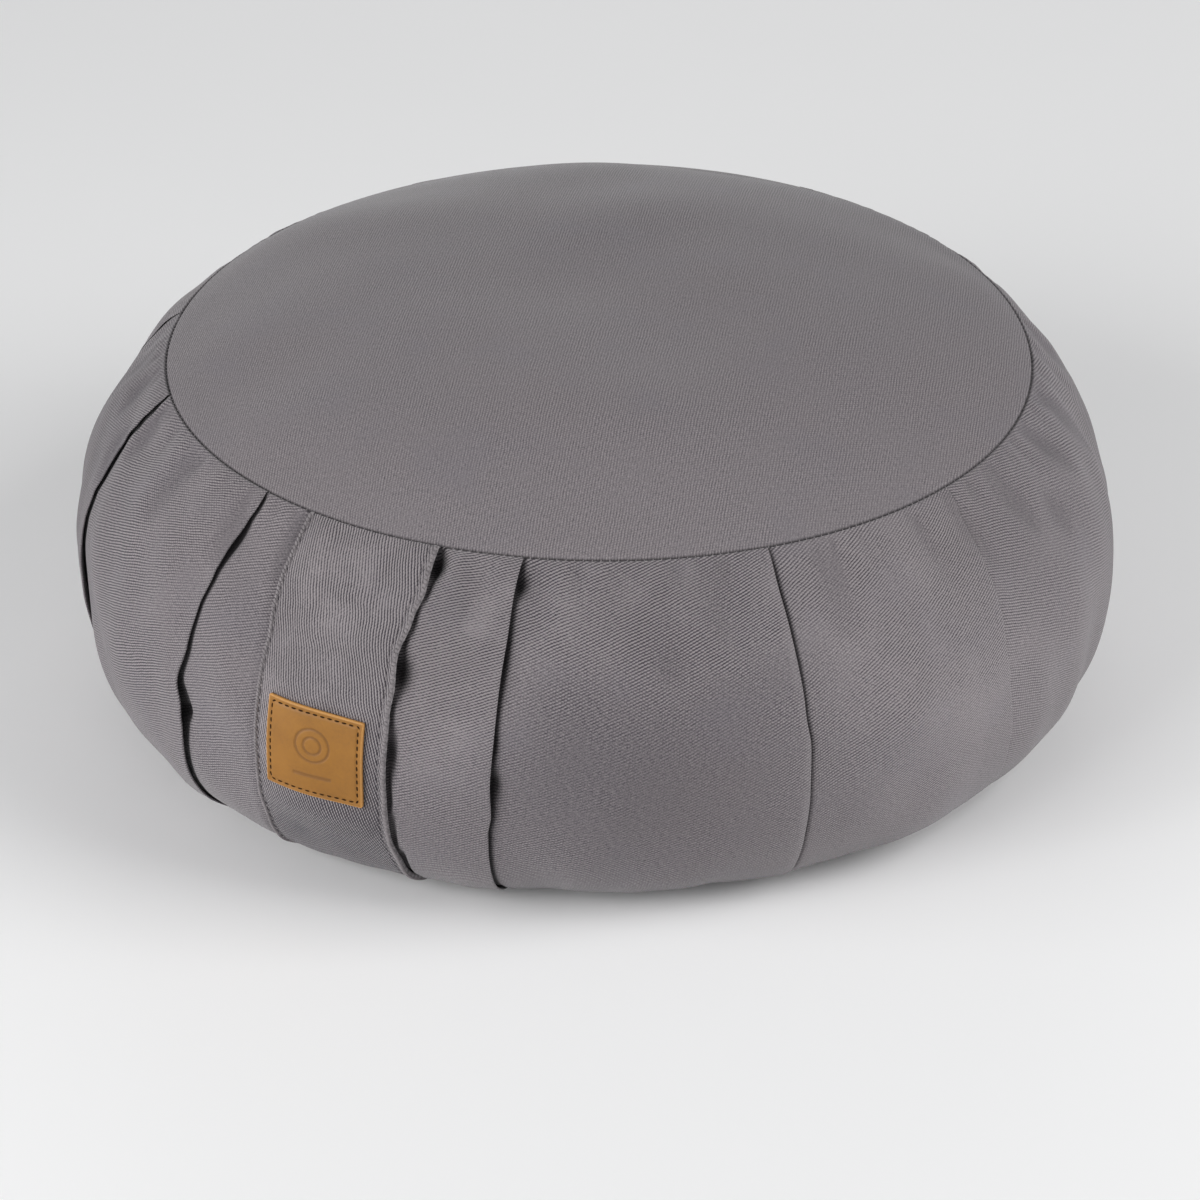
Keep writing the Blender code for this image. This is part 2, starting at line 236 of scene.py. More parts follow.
def sideOutward(azimuth, rise):
    _, _, out, up, _ = sideOutline(azimuth, rise)
    return placeAt(azimuth, out, up)


def nearSeam(rise):
    lower, upper = rise / filledShape["bottomReach"], (1.0 - rise) / filledShape["topReach"]
    return 1.0 - ease(np.minimum(lower, upper))


def drawnIn(rise):
    return filledShape["meanLift"] * ease(np.minimum(rise, 1.0 - rise) / filledShape["seatReach"])


print("filled shape ready")

# Knife pleats. "edge" is the folded edge's azimuth at the bottom seam, the widest place and the
# top seam, and "sway" bends it, as (rise, degrees). "stand" is how far the fold stands off and
# "dip" how deep the cloth beside it is drawn in, as (rise, millimetres); "pinch" is the narrow
# groove along the edge. "notches" are hollows beside it: rise, half height as a rise, width and
# depth in millimetres. "wales" is the way the twill runs after the pleat, in degrees.
plainStand = (
    (0, 0.30), (0.14, 0.50), (0.30, 0.85), (0.47, 1.05), (0.58, 0.85), (0.72, 1.0), (0.84, 0.7),
    (0.93, 0.35), (1, 0.16),
)
plainDip = (
    (0, 0.05), (0.2, 0.2), (0.38, 0.45), (0.50, 0.25), (0.68, 0.40), (0.84, 0.2), (0.93, 0.25),
    (1, 0),
)


def scaled(table, size, shift):
    # a plain table with other values, and its places moved a little
    return tuple((place + shift * math.sin(math.pi * place), size * value) for place, value in table)


def plainPleat(edge, pinch, wales, stand, dip):
    # a pleat out of the photograph's sight; "stand" and "dip" are a size and a shift each
    stand, dip = scaled(plainStand, *stand), scaled(plainDip, *dip)
    return {"edge": edge, "stand": stand, "dip": dip, "pinch": pinch, "wales": wales}


pleats = (
    plainPleat((-154.0, -153.0, -152.5), 0.6, 23, (2.0, 0.0), (1.6, 0.0)),
    plainPleat((-126.0, -125.0, -126.0), 0.6, 23, (1.9, 0.08), (1.5, -0.06)),
    {
        "edge": (-106.0, -104.0, -97.5),
        "stand": ((0, 0.2), (0.4, 0.3), (0.7, 0.3), (0.85, 0.4), (0.94, 0.7), (1, 0.3)),
        "dip": ((0, 0), (1, 0)),
        "pinch": 0.2,
        "wales": 23,
    },
    {
        "edge": (-73.0, -71.5, -73.0),
        "stand": (
            (0, 0.6), (0.15, 0.9), (0.28, 1.7), (0.38, 2.4), (0.46, 2.3), (0.56, 1.5), (0.65, 1.25),
            (0.78, 1.3), (0.88, 1.3), (0.95, 1.0), (1, 0.5),
        ),
        "dip": ((0, 0), (0.3, 0), (0.5, 0.1), (0.62, 0), (1, 0)),
        "sway": (
            (0, -5.5), (0.3, -6.0), (0.42, -5.6), (0.52, -4.8), (0.6, -3.9), (0.68, -3.1),
            (0.74, -3.0), (0.80, -2.7), (0.85, -1.7), (0.90, -0.4), (0.95, 0.4), (1, 0.4),
        ),
        "pinch": 0.8,
        "wales": 23,
    },
    {
        "edge": (-46.0, -45.2, -43.2),
        "stand": (
            (0, 0.9), (0.1, 1.1), (0.2, 1.4), (0.3, 1.8), (0.4, 2.2), (0.46, 2.5), (0.52, 1.9),
            (0.6, 1.5), (0.69, 1.2), (0.76, 1.3), (0.83, 1.7), (0.88, 1.8), (0.93, 1.5),
            (0.97, 1.1), (1, 0.5),
        ),
        "dip": (
            (0, 0), (0.2, 0), (0.35, 0.3), (0.45, 1.3), (0.53, 0.4), (0.66, 0), (0.73, 0),
            (0.81, 0.3), (0.88, 0.6), (0.94, 0.2), (0.975, 0.1), (1, 0),
        ),
        "sway": (
            (0, -0.6), (0.2, -0.75), (0.38, -0.45), (0.45, -0.8), (0.51, -1.8), (0.60, -1.15),
            (0.70, -0.95), (0.78, -0.5), (0.84, -0.5), (0.92, -0.1), (0.96, 0.3), (1, 0),
        ),
        "pinch": 0.5,
        "notches": ((0.43, 0.018, 2.2, 2.2), (0.86, 0.035, 1.8, 0.9)),
        "wales": 24,
    },
    {
        "edge": (-9.5, -10.0, -8.2),
        "stand": (
            (0, 0.8), (0.15, 1.0), (0.3, 1.3), (0.4, 1.8), (0.47, 2.3), (0.55, 1.6), (0.63, 1.4),
            (0.73, 1.9), (0.81, 1.8), (0.87, 1.4), (0.93, 1.4), (0.97, 1.1), (1, 0.5),
        ),
        "dip": (
            (0, 0), (0.2, 0.1), (0.35, 0.4), (0.46, 1.2), (0.54, 0.6), (0.62, 0.3), (0.74, 0.9),
            (0.82, 0.6), (0.88, 0.7), (0.94, 1.4), (0.985, 0.7), (1, 0),
        ),
        "sway": (
            (0, -0.5), (0.2, -0.6), (0.27, -0.6), (0.34, -0.5), (0.40, -0.1), (0.47, -0.15),
            (0.6, 0), (0.8, -0.1), (0.92, -0.35), (1, -0.2),
        ),
        "pinch": 0.8,
        "notches": (
            (0.475, 0.035, 2.8, 2.8), (0.58, 0.03, 1.4, 1.2), (0.77, 0.05, 1.5, 1.0),
            (0.94, 0.028, 3.6, 3.0),
        ),
        "wales": 24,
    },
    {
        "edge": (21.6, 21.4, 22.2),
        "stand": (
            (0, 0.5), (0.2, 0.7), (0.35, 0.9), (0.5, 0.8), (0.65, 0.7), (0.8, 0.8), (0.92, 0.9),
            (1, 0.5),
        ),
        "dip": ((0, 0), (0.3, 0), (0.5, 0.2), (0.7, 0.1), (0.85, 0.1), (0.95, 0.1), (1, 0)),
        "sway": (
            (0, 0.2), (0.3, 0.3), (0.42, 0.5), (0.53, 0.5), (0.62, 0.1), (0.8, -0.1), (1, -0.15),
        ),
        "shade": ((0, 0.5), (0.4, 0.7), (0.6, 1.0), (0.8, 1.4), (1, 1.3)),
        "pinch": 1.5,
        "wales": 28,
    },
    {
        "edge": (50.5, 48.5, 52.5),
        "stand": (
            (0, 0.1), (0.4, 0.18), (0.55, 0.28), (0.75, 0.34), (0.9, 0.42), (0.96, 0.45), (1, 0.15),
        ),
        "dip": ((0, 0), (1, 0)),
        "sway": (
            (0, 0), (0.39, -0.4), (0.53, -1.4), (0.61, -1.7), (0.70, -1.3), (0.77, -1.0),
            (0.88, -0.1), (0.94, -0.2), (1, -0.8),
        ),
        "shade": ((0, 0.4), (0.9, 0.4), (1, 0.6)),
        "pinch": 0.2,
        "wales": -18,
    },
    {
        "edge": (88.0, 88.5, 93.0),
        "stand": ((0, 0.1), (0.3, 0.25), (0.6, 0.45), (0.85, 0.5), (1, 0.2)),
        "dip": ((0, 0), (0.5, 0.1), (0.85, 0.1), (1, 0)),
        "pinch": 0.4,
        "wales": -18,
    },
    plainPleat((119.0, 118.0, 121.0), 0.6, -18, (1.7, -0.08), (1.2, 0.04)),
    plainPleat((148.0, 148.5, 150.0), 0.7, -18, (2.1, 0.05), (1.8, 0.0)),
    plainPleat((176.5, 177.5, 178.5), 0.6, -18, (1.8, 0.0), (1.4, -0.05)),
)
strapAfter = 4  # the strap lies between this pleat and the next

# A fold's section. Lengths are in millimetres, from its edge or of its height.
foldSection = {
    "before": -16.0,
    "after": 12.0,
    "depth": 8.0,
    "lip": 0.85,
    "rubbed": 1.6,  # a fold that stands off this far is worn in full
    "turn": (0.35, 0.4),  # level of its inner turn, as shares of its height and of its mouth
    "sunk": (0.35, 0.7),  # how deep the hidden layers of a fold below the second height go
    "sunkShares": (0.6, 0.8),
    "bends": (1.3, 1.6),  # how late the layer behind the edge and the one under it rise
    "afterShare": 0.05,  # what is left of its height beside it
    "dipFade": 11.0,
    "pinchWidth": 1.1,
    "shade": ((0, 0.8), (1, 0.8)),  # how far the crevice's dark reaches, (rise, millimetres)
    "hollowShade": (0.5, 0.45),  # depth where a hollow turns dark, and how fast
    # left of the fold: millimetres from its edge, share of its height
    "upper": (
        (-16.0, 0.65), (-12.5, 0.78), (-9.5, 0.88), (-7.0, 0.94), (-5.0, 0.97), (-3.4, 0.98),
        (-2.2, 0.985), (-1.4, 1.0), (-0.8, 1.015),
    ),
    "rim": (75, 45, 15, -15, -45, -75),
    "back": (2.0, 4.0, 6.2),
    "under": (8.0, 6.2, 4.2, 2.4, 1.0),
    "beside": (0.0, 0.5, 1.0, 1.5, 2.1, 2.8, 3.8, 5.4, 7.4, 9.8, 12.0),
}

# Soft troughs and ridges that the seams pull into the cloth: azimuth, lean in degrees,
# half width in degrees, how far they reach as a share of the rise, height in millimetres
puckers = {
    "size": 1.7,  # times the heights below
    "start": 0.035,  # the rise over which they begin beside their seam
    "spread": (0.7, 0.6),  # share of the half width at the seam, and what it grows by
    "top": (
        (-89.0, 0.0, 0.9, 0.10, 0.60), (-86.2, 0.0, 0.9, 0.12, -0.60),
        (-82.5, 0.0, 1.0, 0.11, 0.55), (-79.5, 0.0, 0.9, 0.10, -0.40),
        (-65.0, 0.3, 1.6, 0.16, -0.30), (-60.5, 0.5, 2.2, 0.24, 0.35),
        (-55.5, 0.2, 1.7, 0.15, -0.25), (-51.0, 0.0, 1.8, 0.22, 0.30),
        (-47.5, -0.4, 1.2, 0.14, -0.25), (-40.8, -0.6, 1.0, 0.16, -0.30),
        (-38.4, -0.4, 0.9, 0.18, 0.25), (-15.8, 0.8, 1.3, 0.26, 0.80),
        (-13.2, 0.8, 0.9, 0.20, -0.55), (-10.9, 0.4, 0.9, 0.16, 0.30), (-4.9, 1.8, 1.4, 0.24, 0.75),
        (-2.3, 1.6, 1.0, 0.20, -0.55), (0.6, 1.0, 1.2, 0.18, 0.45), (3.4, 0.8, 1.0, 0.15, -0.45),
        (6.4, 0.4, 1.2, 0.20, 0.60), (9.4, 0.2, 1.1, 0.15, -0.45), (13.2, 0.0, 1.5, 0.17, 0.35),
        (16.6, -0.3, 1.1, 0.15, -0.35), (19.4, -0.4, 1.0, 0.20, 0.30),
        (24.6, -0.6, 1.0, 0.20, 0.45), (27.6, -0.8, 1.0, 0.15, -0.30),
        (31.0, -1.0, 0.9, 0.22, -0.65), (33.1, -1.0, 0.9, 0.20, 0.50),
        (35.0, -1.1, 0.8, 0.19, -0.55), (37.4, -1.0, 1.0, 0.18, 0.35),
        (40.6, -1.0, 1.0, 0.15, -0.30), (44.6, -1.2, 0.9, 0.20, -0.50),
        (46.8, -1.2, 0.9, 0.20, 0.40), (55.5, -0.8, 1.2, 0.16, -0.25),
        (59.5, -0.8, 1.6, 0.22, 0.35),
    ),
    "bottom": tuple(
        (middle, 0.0, 2.1, 0.28, 0.5 * (-1) ** index)
        for index, middle in enumerate(range(-176, 180, 9))
    ),
}


def puckerLift(azimuth, rise):
    total = np.zeros(np.broadcast(azimuth, rise).shape)
    narrow, growth = puckers["spread"]
    for table, fromSeam in ((puckers["top"], 1.0 - rise), (puckers["bottom"], rise)):
        start = ease(fromSeam / puckers["start"])
        for middle, lean, halfWidth, reach, height in table:
            down = fromSeam / reach
            away = (azimuth - middle - lean * down + 180.0) % 360.0 - 180.0
            spread = np.exp(-((away / (halfWidth * (narrow + growth * down))) ** 2))
            total += puckers["size"] * height * mm * spread * start * (1.0 - ease(down))
    return total


fillingLumps = {"seed": 7, "count": 34, "lobes": (5, 46), "climb": 2.6, "size": 0.26}


def bandUnevenness(azimuth, rise):
    # long soft lumps of the filling, the same on every run
    random = np.random.default_rng(fillingLumps["seed"])
    steepest = fillingLumps["climb"]
    total = 0.0
    for index in range(fillingLumps["count"]):
        lobes = int(random.integers(*fillingLumps["lobes"]))
        climb = random.uniform(-steepest, steepest)
        phase = random.uniform(0.0, 2.0 * math.pi)
        size = fillingLumps["size"] * mm * (9.0 / (lobes + 4.0)) ** 0.6
        wave = np.cos(np.radians(lobes * azimuth) + 2.0 * math.pi * climb * rise + phase)
        total = total + size * wave
    return total * (1.0 - nearSeam(rise) ** 2)


# How clearly the wales stand out, and painted light and shade: colour made lighter or darker where
# the lamps light the cloth more or less. A patch is its azimuth and rise, half sizes in degrees and
# as a rise, and how much it adds to each.
weave = {
    "clarity": 0.44,
    "patches": (
        (-15.5, 0.76, 5.5, 0.22, 1.30, 0.70),
        (-85.0, 0.78, 15.0, 0.36, -0.20, -0.17),
        (-57.0, 0.55, 13.0, 0.5, 0.35, 0.03),
        (3.0, 0.87, 16.0, 0.13, 0.95, 0.20),
        (5.0, 0.50, 15.0, 0.28, -0.26, -0.14),
        (37.0, 0.68, 13.0, 0.35, 0.40, 0.32),
        (63.0, 0.55, 16.0, 0.25, 0.00, 0.10),
    ),
    "foot": -0.15,  # light at the bottom seam, and how far up it reaches
    "footReach": 0.25,
    "pucker": (0.50, 0.15),  # clarity and painted light added on a ridge, for each millimetre of its height
    # the strap's clarity and painted light, then the painted shade at its foot
    "strap": (1.60, 0.37),
    "strapFoot": -0.90,
    "panels": 0.29,
    "panelFade": -0.8,  # how the top's light changes for each metre towards the back
}


def sideWeave(azimuth, rise, ridge):
    height = np.clip(ridge / mm, -1.0, 1.0)
    clearer, lighter = weave["pucker"]
    clarity = weave["clarity"] + clearer * height
    catch = weave["foot"] * (1.0 - ease(rise / weave["footReach"])) + lighter * height
    for middle, level, wide, high, clearer, lighter in weave["patches"]:
        spread = np.exp(-(((azimuth - middle) / wide) ** 2) - ((rise - level) / high) ** 2)
        clarity, catch = clarity + clearer * spread, catch + lighter * spread
    return clarity, catch


def notchDepth(notches, rise, beside):
    # millimetres
    total = 0.0 * rise * beside
    for middle, halfHeight, width, depth in notches:
        away = -(((rise - middle) / halfHeight) ** 2) - np.maximum(beside / width, -2.0) ** 2
        total = total + depth * np.exp(away)
    return total


def hollowShade(depth, start, pace):
    # how dark a hollow of this depth is
    return np.clip(pace * (depth - start), 0.0, 0.9)


def foldAzimuth(pleat, rise):
    bottom, middle, top = pleat["edge"]
    bow = middle - 0.5 * (bottom + top)
    line = bottom + (top - bottom) * rise + 4.0 * bow * rise * (1.0 - rise)
    return line + softTable(pleat["sway"], rise) if "sway" in pleat else line


def degreesPerMetre(azimuth, rise):
    return np.degrees(1.0 / sideOutline(azimuth, rise)[0])


strap = {
    # edges: (rise, azimuth)
    "left": (
        (0, -36.3), (0.1, -36.1), (0.2, -35.7), (0.3, -35.4), (0.45, -35.25), (0.6, -35.15),
        (0.71, -35.25), (0.79, -35.85), (0.86, -36.15), (0.93, -36.2), (1, -36.05),
    ),
    "right": (
        (0, -19.6), (0.2, -20.0), (0.30, -20.65), (0.42, -20.7), (0.62, -20.3), (0.68, -20.0),
        (0.75, -20.2), (0.83, -19.45), (0.90, -18.8), (1, -18.6),
    ),
    "width": 0.0525,
    "thickness": 0.0020,
    "seatGap": 0.0005,
    "bed": 0.0014,
    "bedTuck": 0.0006,
    "bedMarginLeft": 3.0,  # millimetres over which the side rises again beside the strap
    "bedMarginRight": 2.2,
    "flatShare": 0.62,
    # right edge: (rise, millimetres) that it stands off, and the hollows beside it
    "lift": (
        (0, 0.1), (0.2, 0.4), (0.4, 0.5), (0.52, 1.0), (0.62, 0.6), (0.72, 1.5), (0.80, 0.3),
        (0.87, 0.2), (0.92, 0.9), (0.96, 1.5), (0.99, 1.0), (1, 0.3),
    ),
    "hollows": (
        (0.38, 0.08, 1.4, 0.9), (0.52, 0.06, 3.0, 3.2), (0.715, 0.04, 4.4, 4.2),
        (0.86, 0.03, 3.0, -0.8), (0.955, 0.03, 3.8, 4.4),
    ),
    "groove": 0.8,  # millimetres, all along the right edge, and its width
    "grooveReach": 0.9,
    "grooveShade": 0.8,
    "hollowShade": (0.4, 0.35),
    "rimHeight": 0.00030,  # how much the folded edge stands over the middle
    "grooveDepth": 0.0005,
    "grooveLeft": 0.0018,  # the stitched line's distance from each edge
    "grooveRight": 0.0028,
    "grooveWidth": 0.00045,
    "ropeInset": 0.0007,  # the whipped edge's distance
    "wales": 107,
    "rowSpacing": 0.0016,
    # millimetres from each edge, and the columns between them and underneath
    "edgeColumns": (
        0.35, 0.7, 1.0, 1.25, 1.5, 1.75, 2.0, 2.25, 2.5, 2.75, 3.0, 3.25, 3.5, 3.8, 4.3, 5.2, 6.5,
    ),
    "middleColumns": 24,
    "underColumns": 14,
    "underInset": 0.5,
    "rim": ((0.12, 0.80), (0.0, 0.55), (0.10, 0.30)),  # inset in millimetres, share of its height
    "worn": (1.4, 1.8),  # millimetres of wear at the left and the right edge
    "foot": (0.54, 0.2, 0.45),  # rise below which it has painted shade, its slant and its fade
}


def strapEdges(rise):
    return softTable(strap["left"], rise), softTable(strap["right"], rise)


def bedDepth(rise):
    return strap["bed"] + strap["bedTuck"] * nearSeam(rise)


def strapBed(azimuth, rise):
    # how far the side is pressed in under the strap and drawn in beside its right edge, and the
    # shade there
    left, right = strapEdges(rise)
    scale = degreesPerMetre(azimuth, rise) * mm
    before = ease((azimuth - left) / (strap["bedMarginLeft"] * scale) + 1.0)
    beyond = ease((right - azimuth) / (strap["bedMarginRight"] * scale) + 1.0)
    beside = (azimuth - right) / scale
    hollow = notchDepth(strap["hollows"], rise, beside)
    close = np.exp(-((beside / strap["grooveReach"]) ** 2))
    narrow = strap["groove"] * close + hollow
    shade = np.maximum(hollowShade(hollow, *strap["hollowShade"]), strap["grooveShade"] * close)
    return bedDepth(rise) * before * beyond + narrow * mm, shade


def fromPleat(index):
    # a pleat, the next one, and a full turn where the next is the first again
    after = (index + 1) % len(pleats)
    return pleats[index % len(pleats)], pleats[after], 360.0 * (after == 0)


def openLift(index, azimuth, rise):
    # lift of the cloth between one pleat and the next
    start, end, turn = fromPleat(index)
    scale = degreesPerMetre(azimuth, rise) * mm
    first = foldAzimuth(start, rise) + foldSection["after"] * scale
    last = foldAzimuth(end, rise) + turn + foldSection["before"] * scale
    share = np.clip((azimuth - first) / (last - first), 0.0, 1.0)
    low = foldSection["afterShare"] * softTable(start["stand"], rise) * mm
    high = foldSection["upper"][0][1] * softTable(end["stand"], rise) * mm
    puff = (1.0 - nearSeam(rise)) * filledShape["puff"] * np.sin(math.pi * share)
    return low + (high - low) * share**2 + puff


# Metres, but for "turn" and "azimuth" in degrees
label = {
    "width": 0.037,
    "drop": 0.034,
    "thickness": 0.0015,
    "azimuth": -28.1,
    "middleHeight": 0.065,
    "corner": 0.0007,
    "step": 0.00033,
    "edgeRounding": 0.00055,  # how far in from its edge, and the next how deep in millimetres
    "edgeDrop": 0.35,
    "paleRim": 0.00075,
    "stitchInset": 0.0018,
    "grooveWidth": 0.00055,
    "grooveDepth": 0.00030,
    "turn": -2.2,
    "raise": 0.0007,
    "gap": 0.0003,
    # the stiff patch keeps the cloth under it flat: depth at its middle and reach, and where that
    # fades sideways and upwards, as a start and a length in reaches
    "flatten": 0.0012,
    "flattenReach": 0.030,
    "flattenFade": ((0.35, 1.0), (0.6, 0.75)),
    "flattenMost": 1.2,
    "markDepth": 0.00022,
    "markSoftness": 0.00025,
    # two plain rings and a bar, pressed in: centre, then radius or half length, then line width
    # or half height
    "rings": ((0.0, 0.0035, 0.0062, 0.0009), (0.0, 0.0035, 0.0032, 0.0009)),
    "bar": (0.0, -0.0085, 0.0070, 0.0007),
}


def labelRise():
    rises = np.linspace(0.2, 0.8, 200)
    return np.interp(label["middleHeight"], sideOutline(label["azimuth"], rises)[1], rises)


def labelFlattening(azimuth, rise):
    radius, _, _, _, arc = sideOutline(azimuth, rise)
    x = np.radians(azimuth - label["azimuth"]) * radius
    y = (rise - labelRise()) * arc
    window = 1.0
    for away, (start, length) in zip((x, y), label["flattenFade"]):
        window = window * (1.0 - ease((np.abs(away) / label["flattenReach"] - start) / length))
    bulge = (2.0 * y / label["drop"]) ** 2 - 1.0
    return label["flatten"] * np.minimum(bulge, label["flattenMost"]) * window


def sharedLift(azimuth, rise):
    # what every layer of the side follows alike
    lift = puckerLift(azimuth, rise) + bandUnevenness(azimuth, rise) - drawnIn(rise)
    return lift + labelFlattening(azimuth, rise) + simulatedLift(azimuth, rise)


def spanCentre(index, rise):
    start, end, turn = fromPleat(index)
    return 0.5 * (foldAzimuth(start, rise) + foldAzimuth(end, rise) + turn)


def foldColumns(index, rise):
    # one knife pleat at every rise: azimuth, laid-flat azimuth, lift, cloth distance, wales, wear
    # and painted shade
    pleat, section = pleats[index], foldSection
    edge = foldAzimuth(pleat, rise)
    radius = sideOutline(edge, rise)[0]
    scale = np.degrees(mm / radius)
    stand, dip = softTable(pleat["stand"], rise), softTable(pleat["dip"], rise)
    lip = np.minimum(section["lip"], 0.5 * stand)
    notches = pleat.get("notches", ())
    narrowest = pleat["pinch"] * np.minimum(1.0, stand)
    mouth = dip + narrowest + notchDepth(notches, rise, 0.0)
    sunkDepth, sunkBelow = section["sunk"]
    sunk = sunkDepth * (1.0 - ease(stand / sunkBelow))
    standShare, mouthShare = section["turn"]
    inner = standShare * (stand - lip) - mouthShare * mouth - sunk
    before, after = spanCentre(index - 1, rise), spanCentre(index, rise)
    before = before - 360.0 * (before > edge)
    fromBefore, fromAfter = (edge - before) / scale, (edge - after) / scale
    wales, walesBefore = pleat["wales"], pleats[index - 1]["wales"]
    # painted shade on the layers hidden inside the fold, where no light reaches
    rubbed, hidden = ease(stand / section["rubbed"]), -np.minimum(1.0, 3.0 * stand)
    backBend, underBend = section["bends"]
    backSunk, underSunk = section["sunkShares"]
    made = []
    for along, share in section["upper"]:
        wearAndShade = rubbed * ease((along + 4.0) / 3.0)
        made.append((along, share * stand, fromBefore + along, walesBefore, wearAndShade))
    half = 0.5 * lip
    for degrees in section["rim"]:
        turn = math.radians(degrees)
        lift = stand - half + half * math.sin(turn)
        cloth = fromBefore + half * math.radians(90 - degrees)
        wearAndShade = rubbed * (1.0 - ease((30 - degrees) / 90))
        made.append((half * math.cos(turn) - half, lift, cloth, walesBefore, wearAndShade))
    for back in section["back"]:
        share = (back / section["depth"]) ** backBend
        lift = (stand - lip) + (inner - stand + lip) * share - backSunk * sunk
        made.append((-back, lift, fromBefore + back, walesBefore, hidden))
    for under in section["under"]:
        share = (under / section["depth"]) ** underBend
        lift = -mouth + (inner + mouth) * share - underSunk * sunk
        made.append((-under, lift, fromAfter - under, wales, hidden))
    shadeWidth = softTable(pleat.get("shade", section["shade"]), rise)
    for beside in section["beside"]:
        notch = notchDepth(notches, rise, beside)
        narrow = narrowest * math.exp(-((beside / section["pinchWidth"]) ** 2)) + notch
        rest = section["afterShare"] * stand * ease(beside / section["after"])
        lift = rest - dip * (1.0 - ease(beside / section["dipFade"])) - narrow
        # painted shade in the crevice beside the edge, deeper in its hollows
        shade = -np.exp(-((beside / shadeWidth) ** 2)) * np.minimum(1.0, 1.2 * stand)
        shade = np.minimum(shade, -hollowShade(notch, *section["hollowShade"]))
        made.append((beside, lift, fromAfter + beside, wales, shade))
    columns = []
    reach = section["after"] - section["before"]
    for place, (along, lift, cloth, wales, worn) in enumerate(made):
        flat = edge + scale * (section["before"] + reach * place / (len(made) - 1))
        steady = wales + 0 * rise
        columns.append((edge + along * scale, flat, lift * mm, cloth * mm, steady, worn + 0 * rise))
    return columns


def openColumns(index, rise, spacing):
    start, end, turn = fromPleat(index)
    scaleStart = degreesPerMetre(foldAzimuth(start, rise), rise) * mm
    scaleEnd = degreesPerMetre(foldAzimuth(end, rise), rise) * mm
    first = foldAzimuth(start, rise) + foldSection["after"] * scaleStart
    last = foldAzimuth(end, rise) + turn + foldSection["before"] * scaleEnd
    widest = np.max((last - first) / scaleStart)
    count = max(4, int(round(widest / spacing)))
    columns = []
    for place in range(1, count):
        azimuth = first + (last - first) * place / count
        lift = openLift(index, azimuth, rise)
        radius = sideOutline(azimuth, rise)[0]
        cloth = np.radians(azimuth - spanCentre(index, rise)) * radius
        columns.append((azimuth, azimuth, lift, cloth, start["wales"] + 0 * rise, 0 * rise))
    return columns


# Distances from the seams are in millimetres
seam = {
    "arc": 0.158,  # metres of cloth from seam to seam
    "curlDepth": 0.0014,
    "curlWidth": 0.0007,
    "shadeWidth": 0.0003,
    "nearTop": (0.0, 0.12, 0.3, 0.55, 0.85, 1.2, 1.6, 2.3, 3.2, 4.4),
    "nearBottom": (0.0, 0.5, 1.1, 2.0, 3.4),
}


def seamRows(spacing):
    # rises of the rows, close together beside the seams
    length = seam["arc"]
    top = [1.0 - distance * mm / length for distance in seam["nearTop"]]
    bottom = [distance * mm / length for distance in seam["nearBottom"]]
    count = int((top[-1] - bottom[-1]) * length / spacing) + 1
    middle = np.linspace(bottom[-1], top[-1], count)
    return np.array(bottom[:-1] + list(middle) + top[::-1][1:])


def seamCurl(rise, arc):
    # how far the cloth turns in at its two seams
    total = 0.0
    for distance in (rise * arc, (1.0 - rise) * arc):
        turned = 1.0 - np.clip(distance / seam["curlWidth"], 0.0, 1.0)
        total = total - seam["curlDepth"] * turned**2
    return total


def gridFaces(rows, columns, ring=False):
    low = np.arange(rows - 1)[:, None] * columns
    left = np.arange(columns if ring else columns - 1)[None, :]
    right = (left + 1) % columns
    corners = (low + left, low + right, low + columns + right, low + columns + left)
    return np.stack(corners, axis=-1).reshape(-1, 4).tolist()


def fanFaces(ring, centre, flip=False):
    after = ring[1:] + ring[:1]
    return [(b, a, centre) if flip else (a, b, centre) for a, b in zip(ring, after)]


def closedGrid(rows, columns):
    # rings of faces, closed at each end round a point that follows the grid's own
    total = rows * columns
    faces = gridFaces(rows, columns, ring=True)
    faces += fanFaces(list(range(columns)), total, flip=True)
    return faces + fanFaces(list(range(total - columns, total)), total + 1)


def withEnds(values):
    # a grid's values one by one, with zeros for its two end points
    rest = values.shape[2:]
    return np.concatenate((values.reshape(-1, *rest), np.zeros((2, *rest))))


def newPiece(name, points, faces, material, **attributes):
    mesh = bpy.data.meshes.new(name)
    mesh.from_pydata(np.asarray(points, float).tolist(), [], faces)
    mesh.update()
    for key, values in attributes.items():
        values = np.asarray(values, np.float32)
        kind, field = ("FLOAT_VECTOR", "vector") if values.ndim == 2 else ("FLOAT", "value")
        mesh.attributes.new(key, kind, "POINT").data.foreach_set(field, values.ravel())
    mesh.materials.append(material)
    mesh.shade_smooth()
    return addObject(name, mesh)


def alongWales(cloth, up, degrees):
    # turns cloth coordinates so that the first runs along the twill's wales
    turn = np.radians(degrees)
    along = cloth * np.cos(turn) + up * np.sin(turn)
    across = -cloth * np.sin(turn) + up * np.cos(turn)
    return np.stack((along, across, 0 * along), axis=-1)


# The simulation that gathers the cloth below the top seam
cover = {
    "columns": 360,
    "rows": 50,
    "gathered": (0.55, 0.97),  # rises between which the spare cloth grows to the full
    "heldBelow": 0.3,
    "frames": 20,
    "cap": 1.5,  # millimetres
    "share": 0.7,
    "broadLobes": 9,  # waves round the cushion that the filled shape already has
    "finer": 4,  # columns of its result for each of its own
    "cloth": {
        "quality": 5,
        "mass": 0.3,
        "tension_stiffness": 30.0,
        "compression_stiffness": 30.0,
        "shear_stiffness": 9.0,
        "bending_stiffness": 8.0,
        "use_pressure": True,
        "uniform_pressure_force": 4.0,
        "shrink_min": -0.02,  # spare cloth, as a share
        "shrink_max": 0.0,
        "air_damping": 2.0,
        "vertex_group_mass": "held",
        "vertex_group_shrink": "firm",
    },
}


